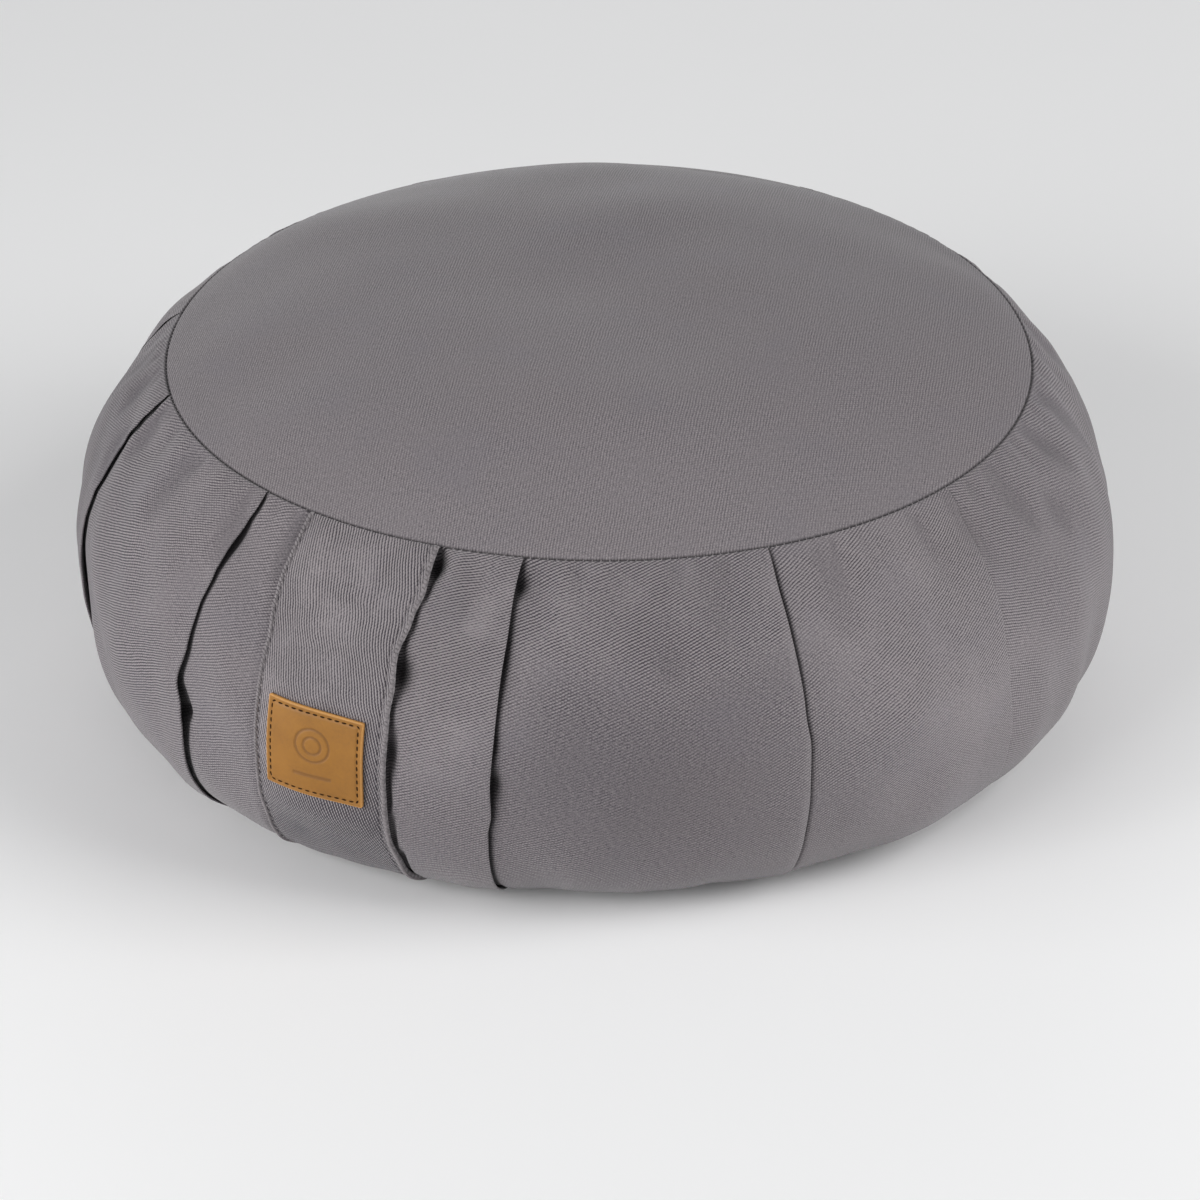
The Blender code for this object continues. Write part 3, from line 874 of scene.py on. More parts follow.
def relaxCover():
    # the side's cloth under the filling's pressure, with spare cloth gathered at the top seam
    azimuth = np.linspace(-180.0, 180.0, cover["columns"], endpoint=False)
    rises = np.linspace(0.0, 1.0, cover["rows"])
    rings = [sidePoint(azimuth, rise, 0.0) for rise in rises]
    points = np.concatenate(rings + [[(0.0, 0.0, 0.0), (0.0, 0.0, float(crownHeight(0.0, 0.0)))]])
    count, total = len(azimuth), len(azimuth) * len(rises)
    mesh = bpy.data.meshes.new("relaxed_cover")
    mesh.from_pydata(points.tolist(), [], closedGrid(len(rises), count))
    mesh.update()
    body = addObject("relaxed_cover", mesh)
    held, firm = body.vertex_groups.new(name="held"), body.vertex_groups.new(name="firm")
    for group in (held, firm):
        group.add([total, total + 1], 1.0, "REPLACE")
    first, full = cover["gathered"]
    for row, rise in enumerate(rises):
        ring = list(range(row * count, (row + 1) * count))
        if rise < cover["heldBelow"] or row == len(rises) - 1:
            held.add(ring, 1.0, "REPLACE")
        firm.add(ring, 1.0 - float(ease((rise - first) / (full - first))), "REPLACE")
    modifier = body.modifiers.new("cover", "CLOTH")
    for name, value in cover["cloth"].items():
        setattr(modifier.settings, name, value)
    modifier.settings.effector_weights.gravity = 0.0
    modifier.collision_settings.use_collision = False
    scene = bpy.context.scene
    modifier.point_cache.frame_start, modifier.point_cache.frame_end = 1, cover["frames"]
    for frameNumber in range(1, cover["frames"] + 1):
        scene.frame_set(frameNumber)
    moved = np.empty(points.size)
    result = body.evaluated_get(bpy.context.evaluated_depsgraph_get())
    result.data.vertices.foreach_get("co", moved)
    step = (moved.reshape(-1, 3) - points)[:total].reshape(len(rises), count, 3)
    bpy.data.objects.remove(body)
    bpy.data.meshes.remove(mesh)
    scene.frame_set(1)
    lift = (step * sideOutward(azimuth[None, :], rises[:, None])).sum(axis=-1)
    # keep the puckers alone, smoothly spread over more columns
    waves = np.fft.rfft(lift, axis=1)
    waves[:, : cover["broadLobes"]] = 0.0
    fine = cover["finer"] * np.fft.irfft(waves, n=cover["finer"] * count, axis=1)
    cap = cover["cap"] * mm
    return cover["share"] * cap * np.tanh(fine / cap)


relaxed = relaxCover()
print("cover relaxed:", round(float(np.abs(relaxed).max()) / mm, 2), "mm at most")


def simulatedLift(azimuth, rise):
    # the puckers of the relaxed cover, smooth between its rows
    azimuth, rise = np.broadcast_arrays(np.asarray(azimuth, float), np.asarray(rise, float))
    rows, columns = relaxed.shape
    across = ((azimuth + 180.0) % 360.0) / 360.0 * columns
    up = np.clip(rise, 0.0, 1.0) * (rows - 1)
    left, below = np.floor(across).astype(int), np.minimum(np.floor(up).astype(int), rows - 2)
    turn, climb = across - left, up - below
    total = 0.0
    for offset in (-1, 0, 1, 2):
        away = np.abs(climb - offset)
        near = (1.5 * away - 2.5) * away**2 + 1.0
        far = ((2.5 - 0.5 * away) * away - 4.0) * away + 2.0
        weight = np.where(away <= 1.0, near, far)
        row = np.clip(below + offset, 0, rows - 1)
        value = relaxed[row, left % columns] * (1.0 - turn)
        value = value + relaxed[row, (left + 1) % columns] * turn
        total = total + weight * value
    return total


class Wire:
    # one output of a node; sums on it add Math nodes to its tree
    def __init__(self, bench, socket):
        self.bench, self.socket = bench, socket

    def __add__(self, other):
        return self.bench.sum("ADD", self, other)

    def __radd__(self, other):
        return self.bench.sum("ADD", other, self)

    def __sub__(self, other):
        return self.bench.sum("SUBTRACT", self, other)

    def __rsub__(self, other):
        return self.bench.sum("SUBTRACT", other, self)

    def __mul__(self, other):
        return self.bench.sum("MULTIPLY", self, other)

    def __rmul__(self, other):
        return self.bench.sum("MULTIPLY", other, self)

    def __truediv__(self, other):
        return self.bench.sum("DIVIDE", self, other)

    def __rtruediv__(self, other):
        return self.bench.sum("DIVIDE", other, self)

    def cosine(self):
        return self.bench.sum("COSINE", self)

    def bound(self):
        return self.bench.make("ShaderNodeClamp", {}, {"Value": self})


class Bench:
    # lays out the nodes of one tree
    def __init__(self, tree):
        self.tree = tree

    def make(self, kind, settings=None, values=None, output=0):
        node = self.tree.nodes.new(kind)
        for name, value in (settings or {}).items():
            setattr(node, name, value)
        for name, value in (values or {}).items():
            if isinstance(value, Wire):
                self.tree.links.new(value.socket, node.inputs[name])
            else:
                node.inputs[name].default_value = value
        return Wire(self, node.outputs[output]) if len(node.outputs) else node

    def sum(self, operation, *terms):
        return self.make("ShaderNodeMath", {"operation": operation}, dict(enumerate(terms)))

    def mixColour(self, share, first, second):
        values = {0: share, 6: first, 7: second}
        return self.make("ShaderNodeMix", {"data_type": "RGBA"}, values, output=2)

    def noise(self, vector, scale, detail=2.0):
        values = {"Vector": vector, "Scale": scale, "Detail": detail}
        return self.make("ShaderNodeTexNoise", {}, values)

    def bump(self, height, distance, strength):
        values = {"Strength": strength, "Distance": distance, "Height": height}
        return self.make("ShaderNodeBump", {}, values, output="Normal")

    def read(self, name, output="Fac"):
        return self.make("ShaderNodeAttribute", {"attribute_name": name}, output=output)

    def place(self):
        return self.make("ShaderNodeTexCoord", output="Object")


def colour(red, green, blue):
    return (red, green, blue, 1.0)


def startMaterial(name):
    material = bpy.data.materials.new(name)
    material.use_nodes = True
    material.node_tree.nodes.clear()
    return material, Bench(material.node_tree)


def finishMaterial(bench, values):
    shader = bench.make("ShaderNodeBsdfPrincipled", {}, {"Metallic": 0.0, **values})
    bench.make("ShaderNodeOutputMaterial", {}, {"Surface": shader})


twill = {
    "wale": 1.04,  # millimetres between wales
    "float": 1.15,  # millimetres between the yarn's crossings along a wale
    "yarn": colour(0.300, 0.272, 0.281),
    "furrow": colour(0.040, 0.035, 0.044),
    # painted shade: the near black laid in crevices, under folds and in the seams
    "crevice": colour(0.016, 0.014, 0.016),
    "warmTint": colour(0.190, 0.162, 0.162),
    "coolTint": colour(0.140, 0.134, 0.165),
    "tintShare": 0.22,
    # paler colour of wear on the fold and strap edges
    "worn": colour(0.270, 0.250, 0.256),
    "roughness": 0.88,
    "sheen": 0.25,
    "sheenRoughness": 0.45,
    "shine": 0.25,
    "waleHeight": 0.00042,
    # how many of each to a metre
    "drift": 120.0,
    "streaks": (600.0, 1800.0, 1.0),
    "slubs": 2200.0,
    "regions": (26.0, 75.0),
    "warmPatches": 14.0,
    "coolPatches": 38.0,
}


def twillMaterial(name, look):
    material, bench = startMaterial(name)
    cloth, place = bench.read("cloth", "Vector"), bench.place()
    worn, clarity, catch = bench.read("worn"), bench.read("clarity"), bench.read("catch")
    parts = bench.make("ShaderNodeSeparateXYZ", {}, {"Vector": cloth})
    along = parts / (look["float"] * mm)
    across = Wire(bench, parts.socket.node.outputs["Y"]) / (look["wale"] * mm)
    across = across + (bench.noise(cloth, look["drift"]) - 0.5) * 0.9
    turn = 2.0 * math.pi
    wale = (across * turn).cosine() * 0.5 + 0.5
    bead = ((along + across * 0.5) * turn).cosine() * 0.5 + 0.5
    streak = bench.make("ShaderNodeMapping", {}, {"Vector": cloth, "Scale": look["streaks"]})
    yarnTone = bench.noise(streak, 1.0)
    slub = bench.noise(cloth, look["slubs"])
    ridge = wale * (bead * 0.55 + 0.45)
    # regions where the wales stand out more or less
    broad, close = look["regions"]
    region = bench.noise(place, broad, 1.0) + bench.noise(place, close, 1.0)
    crisp = ((region - 0.98) * 1.2 + 0.80).bound() * clarity
    grit = (yarnTone - 0.5) + (slub - 0.5) * 1.3
    # painted light and shade lift or lower the tone
    tone = (ridge - 0.36) * crisp * 2.1 + grit * (crisp * 0.4 + 0.7) + catch + 0.48
    body = bench.mixColour(tone.bound(), look["furrow"], look["yarn"])
    # warm and cool patches, then paler wear on the edges and painted shade in crevices, under folds
    # and in the seams
    warm = ((bench.noise(place, look["warmPatches"], 3.0) - 0.46) * 2.2).bound()
    cool = ((0.48 - bench.noise(place, look["coolPatches"])) * 2.4).bound()
    body = bench.mixColour(warm * look["tintShare"], body, look["warmTint"])
    body = bench.mixColour(cool * look["tintShare"], body, look["coolTint"])
    body = bench.mixColour((worn * 0.5 * (0.5 + yarnTone)).bound(), body, look["worn"])
    body = bench.mixColour((worn * -0.9).bound(), body, look["crevice"])
    height = (ridge * 0.85 + slub * 0.3) * (crisp * 0.7 + 0.3)
    finishMaterial(bench, {
        "Base Color": body,
        "Roughness": (slub * 0.10 + (look["roughness"] - 0.05)).bound(),
        "Normal": bench.bump(height, look["waleHeight"], 0.8),
        "Sheen Weight": look["sheen"],
        "Sheen Roughness": look["sheenRoughness"],
        "Specular IOR Level": look["shine"],
    })
    return material


thread = {
    "name": "grey sewing thread",
    "light": colour(0.340, 0.312, 0.320),
    "dark": colour(0.120, 0.110, 0.116),
}
labelThread = {
    "name": "dark brown sewing thread",
    "light": colour(0.060, 0.024, 0.007),
    "dark": colour(0.012, 0.004, 0.001),
}
threadFinish = {"fibres": 1500.0, "patches": 180.0, "height": 0.00008, "shine": 0.1}


def threadMaterial(look):
    material, bench = startMaterial(look["name"])
    place = bench.place()
    fibre = bench.noise(place, threadFinish["fibres"])
    tone = (fibre * 0.8 + bench.noise(place, threadFinish["patches"]) * 0.6 - 0.2).bound()
    finishMaterial(bench, {
        "Base Color": bench.mixColour(tone, look["dark"], look["light"]),
        "Roughness": fibre * 0.2 + 0.7,
        "Normal": bench.bump(fibre, threadFinish["height"], 0.5),
        "Specular IOR Level": threadFinish["shine"],
    })
    return material


leather = {
    "face": colour(0.345, 0.150, 0.017),
    "deep": colour(0.215, 0.090, 0.010),
    # pale cut edge along the rim, which also paints a highlight there
    "cutEdgeAndHighlight": colour(0.620, 0.310, 0.090),
    "pressed": colour(0.175, 0.072, 0.012),
    "grain": 2400.0,
    "clouds": 90.0,
    "pores": 900.0,
    "grainHeight": 0.00012,
    "roughness": 0.50,
    "shine": 0.4,
}


def leatherMaterial(look):
    material, bench = startMaterial("tan leather")
    place, rim, pressed = bench.place(), bench.read("rim"), bench.read("pressed")
    grain = {"Vector": place, "Scale": look["grain"]}
    cells = bench.make("ShaderNodeTexVoronoi", {"feature": "DISTANCE_TO_EDGE"}, grain)
    fine = bench.noise(place, look["pores"], 3.0)
    tone = (bench.noise(place, look["clouds"], 3.0) * 0.9 + fine * 0.5 - 0.25).bound()
    body = bench.mixColour(tone, look["deep"], look["face"])
    body = bench.mixColour((pressed * 0.75).bound(), body, look["pressed"])
    # paler rim: the cut edge's own colour and a painted highlight
    body = bench.mixColour((rim * (0.75 + fine * 0.5)).bound(), body, look["cutEdgeAndHighlight"])
    finishMaterial(bench, {
        "Base Color": body,
        "Roughness": (fine * 0.16 + (look["roughness"] - 0.06)).bound(),
        "Normal": bench.bump(cells * 0.8 + fine * 0.6, look["grainHeight"], 0.35),
        "Specular IOR Level": look["shine"],
    })
    return material


greyTwill = twillMaterial("grey twill", twill)
greyThread = threadMaterial(thread)
brownThread = threadMaterial(labelThread)
tanLeather = leatherMaterial(leather)
print("materials ready")

side = {
    "columnSpacing": 2.2,  # millimetres, in the open cloth
    "rowSpacing": 0.0018,
    "seat": 0.0026,  # how far inside the two panels it ends
    "topFill": (0.93, 0.80, 0.55, 0.25),
    "bottomFill": (0.5, 1.0),
}


def buildPleatedSide():
    rises = seamRows(side["rowSpacing"])
    columns = []
    for index in range(len(pleats)):
        columns += foldColumns(index, rises)
        columns += openColumns(index, rises, side["columnSpacing"])
    azimuth, flat, lift, cloth, wales, worn = (np.stack(part, axis=1) for part in zip(*columns))
    rise = np.broadcast_to(rises[:, None], azimuth.shape)
    arc = sideOutline(azimuth, rise)[4]
    pressedIn, strapShade = strapBed(azimuth, rise)
    # painted shade beside the strap's right edge, from its groove and hollows
    shade = np.where(azimuth < 0.0, -strapShade, 1.0) + 0.1 * (strapShade < 0.02)
    worn = np.minimum(worn, shade)
    lift = lift + sharedLift(azimuth, rise) - pressedIn + seamCurl(rise, arc)
    seat = side["seat"]
    bottomFlat, topFlat = flat[0], flat[-1]
    radius, height = topSeam(topFlat)
    floor = filledShape["bottomSeamHeight"] + seat
    inner = filledShape["flatRadius"]
    below = [placeAt(bottomFlat, inner * share, seat)[None] for share in side["bottomFill"]]
    below.append(placeAt(bottomFlat, bottomSeam(bottomFlat), floor)[None])
    above = [placeAt(topFlat, radius, height - seat)[None]]
    for share in side["topFill"]:
        level = crownHeight(topFlat, share * radius) - seat
        above.append(placeAt(topFlat, share * radius, level)[None])
    grid = np.concatenate([*below, sidePoint(azimuth, rise, lift), *above])
    ends = [(0.0, 0.0, seat), (0.0, 0.0, float(crownHeight(0.0, 0.0)) - seat)]

    def withHidden(values):
        # the rows inside the two panels have no values of their own
        row = np.zeros((1, *values.shape[1:]))
        return withEnds(np.concatenate([row] * len(below) + [values] + [row] * len(above)))

    # painted shade in the grooves of the two seams
    dark = np.exp(-((np.minimum(1.0 - rise, rise) * arc / seam["shadeWidth"]) ** 2))
    ridge = puckerLift(azimuth, rise) + simulatedLift(azimuth, rise)
    clarity, catch = sideWeave(azimuth, rise, ridge)
    return newPiece(
        "pleated_side_cloth",
        np.concatenate((grid.reshape(-1, 3), ends)),
        closedGrid(*grid.shape[:2]),
        greyTwill,
        cloth=withHidden(alongWales(cloth, (rise - 0.5) * arc, wales)),
        worn=withHidden(worn - (1.0 + worn) * dark),
        clarity=withHidden(clarity),
        catch=withHidden(catch),
    )


sideCloth = buildPleatedSide()
print("side:", len(sideCloth.data.polygons), "faces")

panel = {
    "columns": 600,
    "thickness": 0.0016,
    "gap": 0.0005,  # between its rim and the band's
    "curlDepth": 0.0012,
    "curlWidth": 0.0006,
    "shadeWidth": 0.0002,
    "wales": 81.5,
    "stretch": 0.045,  # how far the top's weave draws out towards its rim
    "rimDistances": (0.0, 0.12, 0.3, 0.55, 0.9, 1.4, 2.1, 3.0, 4.2, 5.8, 8.0, 10.5),
    "ringSpacing": 0.0032,
    "underShares": (0.2, 0.5, 0.8, 0.97),
    "underRim": ((0.4, 0.5), (0.05, 0.3)),  # millimetres in from its rim and under the cloth
    "lumps": {"seed": 3, "count": 16, "size": 0.00040, "longest": 0.16, "shortest": 0.05},
    "lumpFade": 0.012,
}


def plateLumps(seed, count, size, longest, shortest):
    random = np.random.default_rng(seed)
    waves = []
    for index in range(count):
        wavelength = shortest * (longest / shortest) ** random.uniform(0.0, 1.0)
        heading, phase = random.uniform(0.0, 2.0 * math.pi, 2)
        waves.append((2.0 * math.pi / wavelength, heading, phase, size * (wavelength / longest)))

    def lift(points):
        total = 0.0
        for pace, heading, phase, height in waves:
            along = points[..., 0] * math.cos(heading) + points[..., 1] * math.sin(heading)
            total = total + height * np.cos(pace * along + phase)
        return total

    return lift


def noLumps(points):
    return 0 * points[..., 0]


def buildPanel(name, seamRadius, surface, way, lumps, stretch):
    # a round of cloth with its edge curled into the seam, closed underneath; it faces up
    # where "way" is 1 and down where it is -1
    azimuth = np.linspace(-180.0, 180.0, panel["columns"], endpoint=False)
    rim = seamRadius(azimuth) - panel["gap"]
    rows, maps, worn = [], [], []

    def addRow(radius, sink, wearAndShade=0.0):
        points = placeAt(azimuth, radius, surface(azimuth, radius) - way * sink)
        points[:, 2] += way * lumps(points) * ease((rim - radius) / panel["lumpFade"])
        flat = placeAt(azimuth, radius * (1.0 + stretch * (radius / rim) ** 2), 0.0)
        rows.append(points)
        maps.append(alongWales(flat[:, 0], way * flat[:, 1], panel["wales"]))
        worn.append(wearAndShade + 0 * azimuth)

    thick = panel["thickness"]
    for share in panel["underShares"]:
        addRow(share * rim, thick)
    for inset, sink in panel["underRim"]:
        addRow(rim - inset * mm, thick + sink * mm)
    for distance in panel["rimDistances"]:
        distance = distance * mm
        curl = panel["curlDepth"] * (1.0 - min(distance / panel["curlWidth"], 1.0)) ** 2
        # painted shade in the seam, where the rim curls in
        addRow(rim - distance, curl, -math.exp(-((distance / panel["shadeWidth"]) ** 2)))
    last = panel["rimDistances"][-1] * mm
    rings = int((np.mean(rim) - last) / panel["ringSpacing"])
    for share in np.linspace(1.0, 0.0, rings + 1)[1:-1]:
        addRow((rim - last) * share, 0.0)
    grid, maps, worn = (np.stack(part)[::way] for part in (rows, maps, worn))
    middle = float(surface(0.0, 0.0))
    inside = (0.0, 0.0, middle - way * thick)
    outside = (0.0, 0.0, middle + way * float(lumps(np.zeros(3))))
    points = np.concatenate((grid.reshape(-1, 3), (inside, outside)[::way]))
    return newPiece(
        name,
        points,
        closedGrid(*grid.shape[:2]),
        greyTwill,
        cloth=withEnds(maps),
        worn=withEnds(worn),
        clarity=np.full(len(points), weave["panels"]),
        catch=weave["panelFade"] * points[:, 1],
    )


def topRadius(azimuth):
    return topSeam(azimuth)[0]


topLumps = plateLumps(**panel["lumps"])
topCloth = buildPanel("top_panel_cloth", topRadius, crownHeight, 1, topLumps, panel["stretch"])
bottomCloth = buildPanel("bottom_panel_cloth", bottomSeam, floorHeight, -1, noLumps, 0.0)
print("panels:", len(topCloth.data.polygons) + len(bottomCloth.data.polygons), "faces")


def strapMiddleLift(azimuth, rise):
    # level of the side's bed under the strap
    curl = seamCurl(rise, sideOutline(azimuth, rise)[4])
    lift = openLift(strapAfter, azimuth, rise) + sharedLift(azimuth, rise)
    return lift - bedDepth(rise) + curl


def strapOff(across, rise):
    flat = strap["flatShare"]
    lifted = ease((across / strap["width"] - flat) / (1.0 - flat))
    return strap["seatGap"] + softTable(strap["lift"], rise) * mm * lifted


def strapThickness(across):
    # thicker folded edges, a groove where the stitches pull in
    left, right = across, strap["width"] - across
    total = strap["thickness"] - strap["rimHeight"]
    for distance, groove in ((left, strap["grooveLeft"]), (right, strap["grooveRight"])):
        fold = 1.0 - ease((distance - 0.75 * groove) / (0.6 * groove))
        total = total + strap["rimHeight"] * fold
        close = np.exp(-(((distance - groove) / strap["grooveWidth"]) ** 2))
        total = total - strap["grooveDepth"] * close
    return total


def strapAzimuth(across, rise):
    left, right = strapEdges(rise)
    return left + (right - left) * across / strap["width"]


def strapPoint(across, rise, height):
    azimuth = strapAzimuth(across, rise)
    lift = strapMiddleLift(azimuth, rise) + strapOff(across, rise)
    return sidePoint(azimuth, rise, lift + height)


def buildStrap():
    rise = seamRows(strap["rowSpacing"])[:, None]
    width = strap["width"]
    edge = np.array(strap["edgeColumns"]) * mm
    middle = np.linspace(edge[-1], width - edge[-1], strap["middleColumns"])[1:-1]
    outer = np.concatenate((edge, middle, width - edge[::-1]))
    under = strap["underInset"] * mm
    inner = np.linspace(width - under, under, strap["underColumns"])
    inset, share = (np.array(part) for part in zip(*strap["rim"]))
    inset, rim = inset * mm, float(strapThickness(edge[0])) * share
    grid = np.concatenate((
        strapPoint(outer, rise, strapThickness(outer)),
        strapPoint(width - inset, rise, rim),
        strapPoint(inner, rise, 0.1 * mm),
        strapPoint(inset[::-1], rise, rim[::-1]),
    ), axis=1)
    across = np.concatenate((outer, width + inset, inner, -inset))
    maps = alongWales(across - 0.5 * width, (rise - 0.5) * seam["arc"], strap["wales"])
    wornLeft, wornRight = strap["worn"]
    worn = np.where((across < wornLeft * mm) | (across > width - wornRight * mm), 1.0, 0.0)
    # painted shade on the strap's lower part, towards its foot
    foot, slant, fade = strap["foot"]
    lower = ease((foot + slant * across / width - rise) / fade)
    clarity, catch = weave["strap"]
    ends = (grid[0].mean(0)[None], grid[-1].mean(0)[None])
    points = np.concatenate((grid.reshape(-1, 3), *ends))
    return newPiece(
        "side_strap_cloth",
        points,
        closedGrid(*grid.shape[:2]),
        greyTwill,
        cloth=withEnds(maps),
        worn=withEnds(np.broadcast_to(worn, grid.shape[:2])),
        clarity=np.full(len(points), clarity),
        catch=catch + weave["strapFoot"] * np.concatenate((lower.ravel(), (1.0, 0.0))),
    )


strapCloth = buildStrap()
print("strap:", len(strapCloth.data.polygons), "faces")


def roundedCorners(x, y):
    # moves a square grid's corners onto quarter circles
    halfWidth, halfDrop, radius = 0.5 * label["width"], 0.5 * label["drop"], label["corner"]
    dx = np.maximum(np.abs(x) - (halfWidth - radius), 0.0)
    dy = np.maximum(np.abs(y) - (halfDrop - radius), 0.0)
    both = (dx > 0) & (dy > 0)
    length = np.hypot(dx, dy)
    shrink = np.where(both, np.maximum(dx, dy) / np.where(length > 0, length, 1.0), 1.0)
    newX = np.where(both, np.sign(x) * (halfWidth - radius + dx * shrink), x)
    newY = np.where(both, np.sign(y) * (halfDrop - radius + dy * shrink), y)
    return newX, newY


def labelPlace(x, y, height):
    turn = math.radians(label["turn"])
    x, y = x * math.cos(turn) - y * math.sin(turn), x * math.sin(turn) + y * math.cos(turn)
    rise = labelRise() + (y + label["raise"]) / sideOutline(label["azimuth"], 0.5)[4]
    radius = sideOutline(label["azimuth"], rise)[0]
    azimuth = label["azimuth"] + np.degrees(x / radius)
    left, right = strapEdges(rise)
    across = strap["width"] * (azimuth - left) / (right - left)
    lift = strapMiddleLift(azimuth, rise) + strapOff(across, rise)
    lift = lift + strap["thickness"] - strap["rimHeight"]
    points = sidePoint(azimuth, rise, lift + label["gap"] + height)
    return points, sideOutward(azimuth, rise)


def markMask(x, y):
    soft = label["markSoftness"]
    mask = np.zeros_like(x)
    for middleX, middleY, radius, line in label["rings"]:
        away = np.abs(np.hypot(x - middleX, y - middleY) - radius)
        mask = np.maximum(mask, 1.0 - ease((away - 0.5 * line) / soft + 0.5))
    middleX, middleY, halfLength, halfLine = label["bar"]
    away = np.maximum(np.abs(x - middleX) - halfLength, np.abs(y - middleY) - halfLine)
    return np.maximum(mask, 1.0 - ease(away / soft + 0.5))


def edgeDistance(x, y):
    halfWidth, halfDrop, radius = 0.5 * label["width"], 0.5 * label["drop"], label["corner"]
    dx, dy = np.abs(x) - (halfWidth - radius), np.abs(y) - (halfDrop - radius)
    outside = np.hypot(np.maximum(dx, 0.0), np.maximum(dy, 0.0))
    return radius - (outside + np.minimum(np.maximum(dx, dy), 0.0))


def buildLabel():
    width, drop, step = label["width"], label["drop"], label["step"]
    x, y = np.meshgrid(
        np.linspace(-0.5, 0.5, int(width / step) + 1) * width,
        np.linspace(-0.5, 0.5, int(drop / step) + 1) * drop,
    )
    x, y = roundedCorners(x, y)
    inside = edgeDistance(x, y)
    mark = markMask(x, y)
    groove = np.exp(-(((inside - label["stitchInset"]) / label["grooveWidth"]) ** 2))
    rounding = (1.0 - np.clip(inside / label["edgeRounding"], 0.0, 1.0)) ** 2
    height = label["thickness"] - rounding * label["edgeDrop"] * mm
    height = height - label["markDepth"] * mark - label["grooveDepth"] * groove
    top, bottom = labelPlace(x, y, height)[0], labelPlace(x, y, 0 * x)[0]
    rows, count = x.shape
    total = rows * count
    faces = gridFaces(rows, count)
    faces += [(d + total, c + total, b + total, a + total) for a, b, c, d in faces]
    border = list(range(count)) + [row * count + count - 1 for row in range(1, rows)]
    border += [total - 1 - column for column in range(1, count)]
    border += [row * count for row in range(rows - 2, 0, -1)]
    for here, after in zip(border, border[1:] + border[:1]):
        faces.append((here + total, after + total, after, here))
    rim = 1.0 - ease(inside / label["paleRim"])
    return newPiece(
        "leather_label_patch",
        np.concatenate((top.reshape(-1, 3), bottom.reshape(-1, 3))),
        faces,
        tanLeather,
        rim=np.concatenate((rim.ravel(), np.ones(total))),
        pressed=np.concatenate((mark.ravel(), np.zeros(total))),
    )


labelPatch = buildLabel()
print("label:", len(labelPatch.data.polygons), "faces")


stitchSizes = ("Pitch", "Stitch length", "Thread width", "Thread height", "Lean", "Wobble")


def stitchTree():
    # lays short threads along a path that carries its own outward direction
    tree = bpy.data.node_groups.new("laid stitches", "GeometryNodeTree")
    add = tree.interface.new_socket
    add("Geometry", in_out="OUTPUT", socket_type="NodeSocketGeometry")
    add("Geometry", in_out="INPUT", socket_type="NodeSocketGeometry")
    for name in stitchSizes:
        add(name, in_out="INPUT", socket_type="NodeSocketFloat")
    add("Seed", in_out="INPUT", socket_type="NodeSocketInt")
    add("Material", in_out="INPUT", socket_type="NodeSocketMaterial")
    bench = Bench(tree)
    make = bench.make
    given = {socket.name: Wire(bench, socket) for socket in tree.nodes.new("NodeGroupInput").outputs}
    path = make("GeometryNodeMeshToCurve", {}, {"Mesh": given["Geometry"]})
    spacing = {"Curve": path, "Length": given["Pitch"]}
    path = make("GeometryNodeResampleCurve", {"mode": "LENGTH"}, spacing)
    ball = {"Segments": 8, "Rings": 5, "Radius": 0.5}
    ball = make("GeometryNodeMeshUVSphere", {}, ball, output="Mesh")
    size = {"X": given["Stitch length"], "Y": given["Thread width"], "Z": given["Thread height"]}
    size = make("ShaderNodeCombineXYZ", {}, size)
    ball = make("GeometryNodeTransform", {}, {"Geometry": ball, "Scale": size})
    vector = {"data_type": "FLOAT_VECTOR"}
    outward = make("GeometryNodeInputNamedAttribute", vector, {"Name": "outward"})
    facing = make(
        "FunctionNodeAxesToRotation",
        {"primary_axis": "Z", "secondary_axis": "X"},
        {"Primary Axis": outward, "Secondary Axis": make("GeometryNodeInputTangent")},
    )
    wobble = make(
        "FunctionNodeRandomValue",
        {"data_type": "FLOAT"},
        {2: given["Wobble"] * -1.0, 3: given["Wobble"], "Seed": given["Seed"]},
        output=1,
    )
    lean = {"Axis": (0.0, 0.0, 1.0), "Angle": given["Lean"] + wobble}
    lean = {"Rotation": facing, "Rotate By": make("FunctionNodeAxisAngleToRotation", {}, lean)}
    facing = make("FunctionNodeRotateRotation", {"rotation_space": "LOCAL"}, lean)
    laid = {"Points": path, "Instance": ball, "Rotation": facing}
    laid = make("GeometryNodeInstanceOnPoints", {}, laid)
    laid = make("GeometryNodeRealizeInstances", {}, {"Geometry": laid})
    laid = make("GeometryNodeSetShadeSmooth", {}, {0: laid})
    laid = {"Geometry": laid, "Material": given["Material"]}
    make("NodeGroupOutput", {}, {"Geometry": make("GeometryNodeSetMaterial", {}, laid)})
    return tree


stitching = stitchTree()


def layStitches(name, paths, material, seed, sizes):
    # paths: a list of (points, outward directions, closed)
    points, outward, edges = [], [], []
    for line, directions, closed in paths:
        start = len(points)
        points += np.asarray(line).tolist()
        outward += np.asarray(directions).tolist()
        edges += [(start + step, start + step + 1) for step in range(len(line) - 1)]
        if closed:
            edges.append((start + len(line) - 1, start))
    mesh = bpy.data.meshes.new(name + "_path")
    mesh.from_pydata(points, edges, [])
    field = mesh.attributes.new("outward", "FLOAT_VECTOR", "POINT")
    field.data.foreach_set("vector", np.array(outward, np.float32).ravel())
    guide = addObject(name + "_path", mesh)
    modifier = guide.modifiers.new("stitches", "NODES")
    modifier.node_group = stitching
    values = {**dict(zip(stitchSizes, sizes)), "Seed": seed, "Material": material}
    for socket in stitching.interface.items_tree:
        if socket.in_out == "INPUT" and socket.name in values:
            modifier[socket.identifier] = values[socket.name]
    view = bpy.context.evaluated_depsgraph_get()
    made = bpy.data.meshes.new_from_object(
        guide.evaluated_get(view), preserve_all_data_layers=True, depsgraph=view
    )
    made.name = name
    bpy.data.objects.remove(guide)
    made.materials.clear()
    made.materials.append(material)
    return addObject(name, made)


